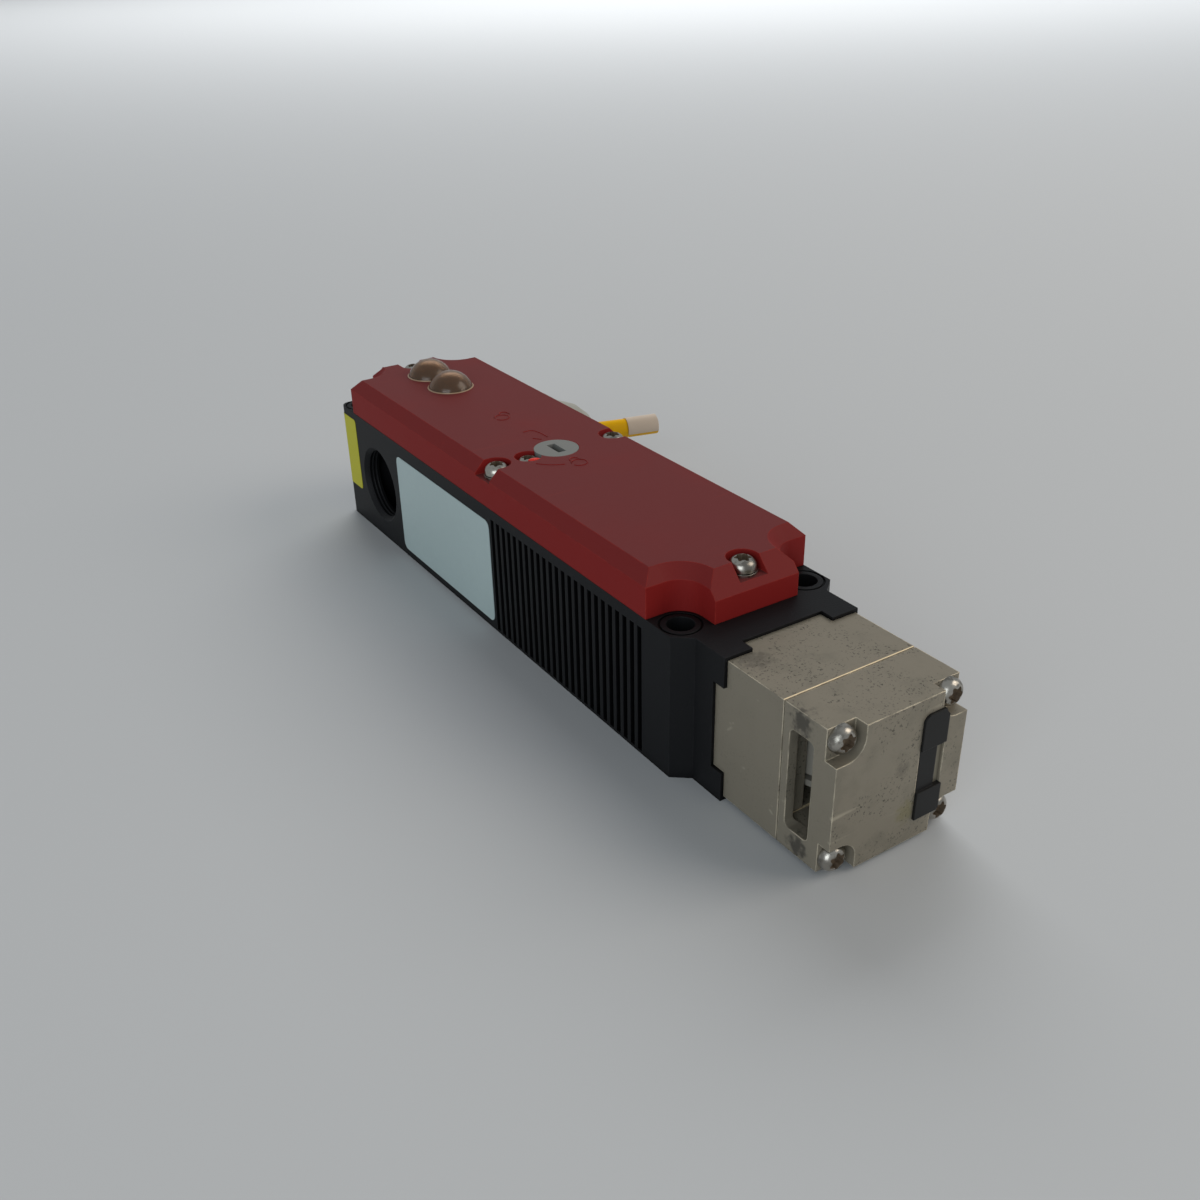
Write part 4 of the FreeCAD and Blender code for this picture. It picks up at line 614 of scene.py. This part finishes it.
def clear_mesh_selection(kind):
    """Leave the active mesh with none of its elements selected."""
    bpy.ops.object.mode_set(mode="EDIT")
    bpy.ops.mesh.select_mode(type=kind)
    bpy.ops.mesh.select_all(action="DESELECT")
    bpy.ops.object.mode_set(mode="OBJECT")


def apply_last_modifier(piece):
    """Turn the newest modifier of the active object into mesh."""
    bpy.ops.object.modifier_apply(modifier=piece.modifiers[-1].name)


def cut_away(target, cutter):
    """Subtract the cutter from the target and delete the cutter."""
    activate(target)
    bpy.ops.object.modifier_add(type="BOOLEAN")
    target.modifiers[-1].object = cutter
    target.modifiers[-1].operation = "DIFFERENCE"
    apply_last_modifier(target)
    bpy.data.objects.remove(cutter)


def join_all(name, parts):
    """One named piece from several, at the origin, unturned and unscaled."""
    activate(parts[0])
    for part in parts:
        part.select_set(True)
    if len(parts) > 1:
        bpy.ops.object.join()
    whole = bpy.context.object
    whole.name = name
    bpy.ops.object.transform_apply(location=True, rotation=True, scale=True)
    return whole


print("helpers:", [helper.__name__ for helper in (activate, cut_away, join_all)])

# %% [markdown]
# The screws are zinc-plated steel, with dark reflections painted on in patches, as bright metal
# mirrors a varied room. Their recess gets a darker and browner metal of its own: painted shade,
# because no light finds its floor, and the dirt that stays in it.
# %% Screw finishes
SCREW_METAL = (0.42, 0.40, 0.36)
REFLECTION_DARK = (0.12, 0.11, 0.095)

screw_finish = new_finish("screw_zinc", SCREW_METAL, roughness=0.28, metallic=1.0)
tree = screw_finish.node_tree
grained(screw_finish, scale=1500.0, strength=0.12, radius=0.1 * MM)
# Painted reflection: these dark patches stand in for the room mirrored in the metal.
reflection_patches = group_mask(tree, speck_group, Scale=500.0, Threshold=0.45, Patch_Scale=300.0)
painted_reflections = fade(tree, reflection_patches, strength=0.65)
paint(screw_finish, blend_colors(tree, painted_reflections, SCREW_METAL, REFLECTION_DARK))
# Painted shade with dirt: the recess gets a darker, browner metal than the screw.
recess_shade_finish = new_finish("recess_dark", (0.24, 0.19, 0.14), roughness=0.45, metallic=0.7)
print("screw_zinc has", len(tree.nodes), "nodes")

# %% [markdown]
# A pan screw has a low rounded head, here with a six-lobed recess, and a cover screw has a washer
# under it. The head could be spun from its profile. A cylinder whose top edge is bevelled gives the
# same shape with less work. A rod with a waved outline is cut out of it, and the shank is joined on.
# %% One screw
LOBES = 6
LOBE_DEPTH = 0.17
PAN_ROUNDING = 0.75
PAN_SEGMENTS = 6
RECESS_FLOOR = 0.45
WASHER_OVERHANG = 0.25 * MM
WASHER_FILL = 0.8
EDGE_NEAR = 0.1 * MM


def rod(radius, low, high, vertices=40):
    """A cylinder on the Z axis from one height to another."""
    bpy.ops.mesh.primitive_cylinder_add(vertices=vertices, radius=radius, depth=high - low,
                                        location=(0, 0, (low + high) / 2))
    piece = bpy.context.object
    bpy.ops.object.transform_apply(location=True)
    return piece


def pan_head(radius, height, seat):
    """A cylinder above the seat, with its top edge bevelled round."""
    top = seat + height
    head = rod(radius, seat, top)
    clear_mesh_selection("EDGE")
    for item in head.data.edges:
        ends = [head.data.vertices[index].co for index in item.vertices]
        item.select = min(ends[0].z, ends[1].z) > top - EDGE_NEAR
    bpy.ops.object.mode_set(mode="EDIT")
    bpy.ops.mesh.bevel(offset=height * PAN_ROUNDING, segments=PAN_SEGMENTS)
    bpy.ops.object.mode_set(mode="OBJECT")
    return head


def lobed_cutter(radius, low, high):
    """A rod whose outline swells into lobes. It leaves the recess's finish where it cuts."""
    cutter = rod(radius, low, high, vertices=36)
    for corner in cutter.data.vertices:
        swell = 1 + LOBE_DEPTH * math.cos(LOBES * math.atan2(corner.co.y, corner.co.x))
        corner.co.x *= swell
        corner.co.y *= swell
    return cutter


def pan_screw(head_radius, head_height, recess_radius, shank_radius, shank_length, washer_height):
    """A screw with its seat at zero and its head above."""
    top = washer_height + head_height
    head = pan_head(head_radius, head_height, washer_height)
    cutter = lobed_cutter(recess_radius, washer_height + head_height * RECESS_FLOOR,
                          top + head_height)
    for piece in (head, cutter):
        piece.data.materials.append(screw_finish)
        piece.data.materials.append(recess_shade_finish)
    for face in cutter.data.polygons:
        face.material_index = 1
    cut_away(head, cutter)
    parts = [head, rod(shank_radius, -shank_length, washer_height, vertices=24)]
    if washer_height:
        parts.append(rod(head_radius + WASHER_OVERHANG, 0, washer_height * WASHER_FILL))
    for part in parts[1:]:
        part.data.materials.append(screw_finish)
    return join_all("screw", parts)


print("a screw's recess has", LOBES, "lobes")

# %% [markdown]
# Four screws hold the cover, four hold the head, and a small one stands beside the disc. Each could
# be modelled in its place. One for each size is enough: it is copied to the places of the CAD
# screws, and every copy is turned a little differently, as a fitter leaves them. A set is joined
# into one piece that replaces its CAD node.
# %% Screw sets
FIRST_TURN, NEXT_TURN = 0.5, 1.9
SMOOTH_BELOW = math.radians(40)


def screw_set(name, node, places, turn, sizes):
    """Copies of one screw at places in millimetres, joined and handed to the case."""
    first = pan_screw(**{part: size * MM for part, size in sizes.items()})
    copies = []
    for index, place in enumerate(places):
        item = first.copy()
        item.data = first.data.copy()
        bpy.context.scene.collection.objects.link(item)
        item.location = Vector(place) * MM
        item.rotation_euler = turn
        item.rotation_euler.rotate_axis("Z", FIRST_TURN + NEXT_TURN * index)
        copies.append(item)
    bpy.data.objects.remove(first)
    whole = join_all(name, copies)
    activate(whole)
    bpy.ops.object.shade_smooth_by_angle(angle=SMOOTH_BELOW)
    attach(whole, "case")
    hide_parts(node)
    print(name, "has", len(places), "screws and", len(whole.data.polygons), "faces")


# %% [markdown]
# Each set has its own size of screw and its own seat. A cover screw sits deep in an open recess of
# the cover, the disc's small screw lies in a shallower one, and the head's long screws come in from
# the front, so their axis is turned to look along the case.
# %% Place the screws
COVER_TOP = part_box("cover")[1].z / MM
COVER_SEAT = COVER_TOP - 3.1
LOCK_SEAT = COVER_TOP - 2.3
HEAD_SEAT = HEAD_FRONT / MM + 2.77
HEAD_MIDDLE_Z = 15.95
HEAD_SPREAD, HEAD_RISE = 12.4, 12.35
UPRIGHT = (0, 0, 0)
FROM_THE_FRONT = (math.pi / 2, 0, 0)

cover_places = [(x, y, COVER_SEAT)
                for x, y in ((0, -72.85), (0, 70.35), (15.5, -5.15), (-15.5, -5.15))]
head_places = [(a * HEAD_SPREAD, HEAD_SEAT, HEAD_MIDDLE_Z + b * HEAD_RISE)
               for a in (-1, 1) for b in (-1, 1)]
cover_screw = {"head_radius": 2.75, "head_height": 2.3, "recess_radius": 1.45,
               "shank_radius": 1.45, "shank_length": 15.1, "washer_height": 0.7}
lock_screw = {"head_radius": 2.45, "head_height": 2.1, "recess_radius": 1.3,
              "shank_radius": 1.2, "shank_length": 3.5, "washer_height": 0}
head_screw = {"head_radius": 2.7, "head_height": 2.3, "recess_radius": 1.5,
              "shank_radius": 1.45, "shank_length": 35.5, "washer_height": 0}
screw_set("pan_cover_screws", "cover_screws", cover_places, UPRIGHT, cover_screw)
screw_set("pan_lock_screw", "release_lock_screw", [(-7.8, -5.85, LOCK_SEAT)], UPRIGHT, lock_screw)
screw_set("pan_head_screws", "head_screws", head_places, FROM_THE_FRONT, head_screw)
print("cover screws are seated", round(COVER_TOP - COVER_SEAT, 1), "mm below the cover's top")

# %% [markdown]
# A drop of red lacquer seals the small screw beside the disc, so that tampering would show. It ran
# out flat on the plastic. It could be sculpted, but a flattened sphere, cut off at its foot, has
# the same look with few faces.
# %% Lacquer seal
LACQUER_PLACE = Vector((-7.2, -8.0, 40.4)) * MM
LACQUER_SHAPE = (1.6, 0.85, 0.5)
LACQUER_TURN = math.radians(-28)
LACQUER_FOOT = 40.1 * MM

drop_selection()
bpy.ops.mesh.primitive_uv_sphere_add(segments=24, ring_count=12, radius=MM, location=LACQUER_PLACE)
lacquer = bpy.context.object
lacquer.scale = LACQUER_SHAPE
lacquer.rotation_euler = (0, 0, LACQUER_TURN)
lacquer = join_all("lacquer_seal", [lacquer])
bpy.ops.object.mode_set(mode="EDIT")
bpy.ops.mesh.select_all(action="SELECT")
bpy.ops.mesh.bisect(plane_co=(0, 0, LACQUER_FOOT), plane_no=(0, 0, 1), clear_inner=True,
                    use_fill=True)
bpy.ops.object.mode_set(mode="OBJECT")
bpy.ops.object.shade_smooth()
lacquer.data.materials.append(new_finish("red_lacquer", (0.75, 0.03, 0.012), roughness=0.25))
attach(lacquer, "case")
print("lacquer seal is", [round(size / MM, 1) for size in lacquer.dimensions], "mm")

# %% [markdown]
# Raised lines on the cover show how the disc turns and what it does: an arc on each side of it, and
# a closed and an open padlock. They could be bump in the material, but real ones catch the light
# from the side. So each is a thin round rod along a curve, half sunk in the surface.
# %% Helpers for raised symbols
LINE_RADIUS = 0.17 * MM
LOCK_BODY_RADIUS, LOCK_BODY_DROP = 1.8, 1.1
LOCK_BODY_ANGLES = (200, 520)
SHACKLE_RADIUS, SHACKLE_RISE = 1.1, 1.0


def raised_line(points):
    """A thin raised line along points given in millimetres on the cover's top."""
    data = bpy.data.curves.new("line", "CURVE")
    data.dimensions = "3D"
    data.bevel_depth = LINE_RADIUS
    data.bevel_resolution = 1
    spline = data.splines.new("POLY")
    spline.points.add(len(points) - 1)
    for point, (x, y) in zip(spline.points, points):
        point.co = (x * MM, y * MM, COVER_TOP * MM, 1.0)
    line = bpy.data.objects.new("line", data)
    bpy.context.scene.collection.objects.link(line)
    activate(line)
    bpy.ops.object.convert(target="MESH")
    return bpy.context.object


def arc_points(center, radius, first, last, steps=14):
    """Points on an arc from one angle to another, in degrees."""
    angles = [math.radians(first + (last - first) * step / steps) for step in range(steps + 1)]
    return [(center[0] + radius * math.cos(a), center[1] + radius * math.sin(a)) for a in angles]


def padlock(x, y, shift):
    """A padlock seen from the head end: a body and a shackle, shifted when it is open."""
    body = arc_points((x, y - LOCK_BODY_DROP), LOCK_BODY_RADIUS, *LOCK_BODY_ANGLES)
    bow = arc_points((x + shift, y + SHACKLE_RISE), SHACKLE_RADIUS, 0, 180)
    shackle = [(x + shift + SHACKLE_RADIUS, y), *bow]
    if not shift:
        shackle.append((x - SHACKLE_RADIUS, y))
    return [raised_line(body), raised_line(shackle)]


print("raised lines are", round(2 * LINE_RADIUS / MM, 2), "mm wide")

# %% [markdown]
# The symbols lie round the disc: an arc on the head's side, a hooked one with a short tip on the
# lenses' side, and a padlock beyond each. They could stay single, but as one piece they take the
# cover's red together.
# %% Raised symbols
DISC_RADIUS = 5.2
DISC_CENTER = (0.0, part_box("release_disc")[0].y / MM + DISC_RADIUS)
ARC_RADIUS = 10.0
ARC_ANGLES = (212, 250)
SHORT_TIP = [(-1.3, 3.0), (0.0, 1.3)]
HOOKED_ARC = [(-1.2, 7.8), (0.4, 7.9), (1.4, 7.2), (1.9, 5.0), (2.0, 2.0)]
CLOSED_LOCK = (-0.3, -14.6, 0.0)
OPEN_LOCK = (-0.4, 20.6, 1.6)

arc = arc_points(DISC_CENTER, ARC_RADIUS, *ARC_ANGLES)
lines = [raised_line(points) for points in (arc, SHORT_TIP, HOOKED_ARC)]
lines += padlock(*CLOSED_LOCK)
lines += padlock(*OPEN_LOCK)
symbols = join_all("cover_symbols", lines)
symbols.data.materials.clear()
symbols.data.materials.append(cover_finish)
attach(symbols, "case")
print("symbols have", len(symbols.data.polygons), "faces")

# %% [markdown]
# Each lens has a pale rim where it meets the cover, and the conduit entry has a few turns of
# thread. A real thread is a helix, but its turns lie so near that rings look the same and are
# lighter. So both pieces are tori, stretched a little in edit mode to a flatter or wider section.
# %% Rings
def ring_piece(name, spots, radius, thickness, turn, stretch, finish):
    """Tori at several spots, stretched in the world's directions and joined."""
    rings = []
    for spot in spots:
        bpy.ops.mesh.primitive_torus_add(major_radius=radius * MM, minor_radius=thickness * MM,
                                         major_segments=64, minor_segments=8,
                                         location=Vector(spot) * MM, rotation=turn)
        bpy.ops.object.mode_set(mode="EDIT")
        bpy.ops.transform.resize(value=stretch)
        bpy.ops.object.mode_set(mode="OBJECT")
        rings.append(bpy.context.object)
    piece = join_all(name, rings)
    activate(piece)
    bpy.ops.object.shade_smooth()
    piece.data.materials.append(finish)
    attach(piece, "case")
    print(name, "has", len(spots), "rings")


ENTRY_Y, ENTRY_Z = 55.55, 15.24
THREAD_X = (-18.2, -17.2, -16.2)
lens_boxes = [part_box(name) for name in ("led_lens_front", "led_lens_rear")]
lens_places = [(0, (low.y + high.y) / 2 / MM, COVER_TOP) for low, high in lens_boxes]
ring_piece("lens_rims", lens_places, radius=5.75, thickness=0.24, turn=UPRIGHT,
           stretch=(1, 1, 0.8), finish=new_finish("lens_rim", (0.42, 0.30, 0.19), roughness=0.35))
ring_piece("entry_thread", [(x, ENTRY_Y, ENTRY_Z) for x in THREAD_X], radius=9.3, thickness=0.28,
           turn=(0, math.pi / 2, 0), stretch=(1.3, 1, 1), finish=case_finish)

# %% [markdown]
# The label and the yellow sticker are thin sheets glued to the left side, and the sticker goes
# round the case's rear corner. A box couldn't bend, so a fine grid of points is laid on the side
# and on the corner's arc, and Solidify gives it its thickness.
# %% Helper for sheets
SIDE_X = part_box("housing")[0].x
REAR_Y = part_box("housing")[1].y
CORNER = 2.7 * MM
SHEET_COLUMNS, SHEET_ROWS = 200, 2


def side_sheet(name, y_span, z_span, rounding, thickness, finish):
    """A thin sheet with rounded corners on the left side. It follows the case's rear corner."""
    drop_selection()
    bpy.ops.mesh.primitive_grid_add(x_subdivisions=SHEET_COLUMNS, y_subdivisions=SHEET_ROWS,
                                    size=1, location=(0, 0, 0))
    sheet = bpy.context.object
    sheet.name = name
    bend = REAR_Y - CORNER
    middle = (z_span[0] + z_span[1]) / 2
    for point in sheet.data.vertices:
        along = y_span[0] + (point.co.x + 0.5) * (y_span[1] - y_span[0])
        inset = max(rounding - min(along - y_span[0], y_span[1] - along), 0)
        lost = rounding - math.sqrt(max(rounding ** 2 - inset ** 2, 0))
        height = middle + point.co.y * (z_span[1] - z_span[0] - 2 * lost)
        angle = max(along - bend, 0) / CORNER
        x = SIDE_X + CORNER - CORNER * math.cos(angle)
        y = min(along, bend) + CORNER * math.sin(angle)
        point.co = (x, y, height)
    bpy.ops.object.modifier_add(type="SOLIDIFY")
    sheet.modifiers[-1].thickness = thickness
    sheet.modifiers[-1].offset = 1 if sheet.data.polygons[0].normal.x < 0 else -1
    apply_last_modifier(sheet)
    sheet.data.materials.append(finish)
    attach(sheet, "case")
    print(name, "is", [round(size / MM, 1) for size in sheet.dimensions], "mm")


# %% [markdown]
# The label plate is a pale grey-green, a little darker in its middle where it was touched. The
# sticker is a plain strong yellow. Both are left blank.
# %% Label and sticker
LABEL = (0.46, 0.57, 0.57)
LABEL_TOUCHED = (0.36, 0.45, 0.45)
TOUCHED_PLACE = (SIDE_X, 20 * MM, 15 * MM)

label_finish = new_finish("label_grey_green", LABEL, roughness=0.4, gloss=0.3)
tree = label_finish.node_tree
touched = group_mask(tree, smudge_group, Center=TOUCHED_PLACE, Radius=26 * MM)
paint(label_finish, blend_colors(tree, fade(tree, touched, strength=0.12), LABEL, LABEL_TOUCHED))
sticker_finish = new_finish("sticker_yellow", (0.55, 0.52, 0.025), roughness=0.45, gloss=0.2)
side_sheet("label_plate", y_span=(-7.0 * MM, 42.3 * MM), z_span=(2.0 * MM, 28.0 * MM),
           rounding=1.8 * MM, thickness=0.12 * MM, finish=label_finish)
side_sheet("yellow_sticker", y_span=(68.3 * MM, 77.2 * MM), z_span=(9.3 * MM, 29.5 * MM),
           rounding=MM, thickness=0.08 * MM, finish=sticker_finish)

# %% [markdown]
# The cable is a cut stub: it leaves the gland straight, then bends a little towards the head.
# A NURBS curve with a round bevel follows the same points as the solid that it stands for. The
# bevel is one metre and each point's radius scales it down to the cable's. The other way round, with
# a thin bevel and a point radius of one, the curve's bounds would come out a metre too wide.
# %% Cable
CABLE_RADIUS = 2.8 * MM
CABLE_POINTS = [(33.7, 55.55, 15.24), (44.95, 55.55, 15.24), (56.2, 51.95, 15.25),
                (66.55, 49.15, 15.35)]

cable_data = bpy.data.curves.new("cable_sheath", "CURVE")
cable_data.dimensions = "3D"
cable_data.bevel_depth = 1.0
cable_data.bevel_resolution = 8
cable_data.resolution_u = 16
cable_data.use_fill_caps = True
spline = cable_data.splines.new("NURBS")
spline.points.add(len(CABLE_POINTS) - 1)
for point, spot in zip(spline.points, CABLE_POINTS):
    point.co = (*(Vector(spot) * MM), 1.0)
    point.radius = CABLE_RADIUS
spline.order_u = 3
spline.use_endpoint_u = True
cable = bpy.data.objects.new("cable_sheath", cable_data)
bpy.context.scene.collection.objects.link(cable)
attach(cable, "case")
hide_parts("cable")
cable_data.materials.append(new_finish("yellow_sheath", (0.86, 0.47, 0.0), roughness=0.45, gloss=0.2))

# %% [markdown]
# The marker is a clip that is open below, so a strip of the yellow sheath shows under it. It could
# be cut from a solid sleeve. Here a tube is made instead, its faces towards the opening are
# deleted, and what is left gets a thickness, which keeps the wall even.
# %% Cable marker
MARKER_RADIUS = 3.05 * MM
MARKER_LENGTH = 9.3 * MM
MARKER_START = 1.3 * MM
MARKER_WALL = 0.25 * MM
MARKER_OPENING = math.radians(42)
OPENING_WAY = Vector((-0.11, -0.42, -0.90))

bend_end, cut_end = (Vector(spot) * MM for spot in CABLE_POINTS[2:])
along = (cut_end - bend_end).normalized()
turn = along.to_track_quat("Z", "Y")
middle = bend_end + along * (MARKER_START + MARKER_LENGTH / 2)
drop_selection()
bpy.ops.mesh.primitive_cylinder_add(vertices=48, radius=MARKER_RADIUS, depth=MARKER_LENGTH,
                                    end_fill_type="NOTHING", location=middle,
                                    rotation=turn.to_euler())
marker = bpy.context.object
opening = turn.inverted() @ OPENING_WAY
clear_mesh_selection("FACE")
for face in marker.data.polygons:
    face.select = face.normal.angle(opening) < MARKER_OPENING
bpy.ops.object.mode_set(mode="EDIT")
bpy.ops.mesh.delete(type="FACE")
bpy.ops.object.mode_set(mode="OBJECT")
bpy.ops.object.modifier_add(type="SOLIDIFY")
marker.modifiers[-1].thickness = MARKER_WALL
apply_last_modifier(marker)
marker = join_all("marker_clip", [marker])
bpy.ops.object.shade_smooth_by_angle(angle=SMOOTH_BELOW)
marker.data.materials.append(new_finish("marker_clear", (0.66, 0.55, 0.44), roughness=0.3, gloss=0.4))
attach(marker, "case")
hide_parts("cable_marker")
print("marker clip has", len(marker.data.polygons), "faces")

# %% [markdown]
# Last, the view layer is updated, so every piece's place is current.
# %% Update the view layer
bpy.context.view_layer.update()
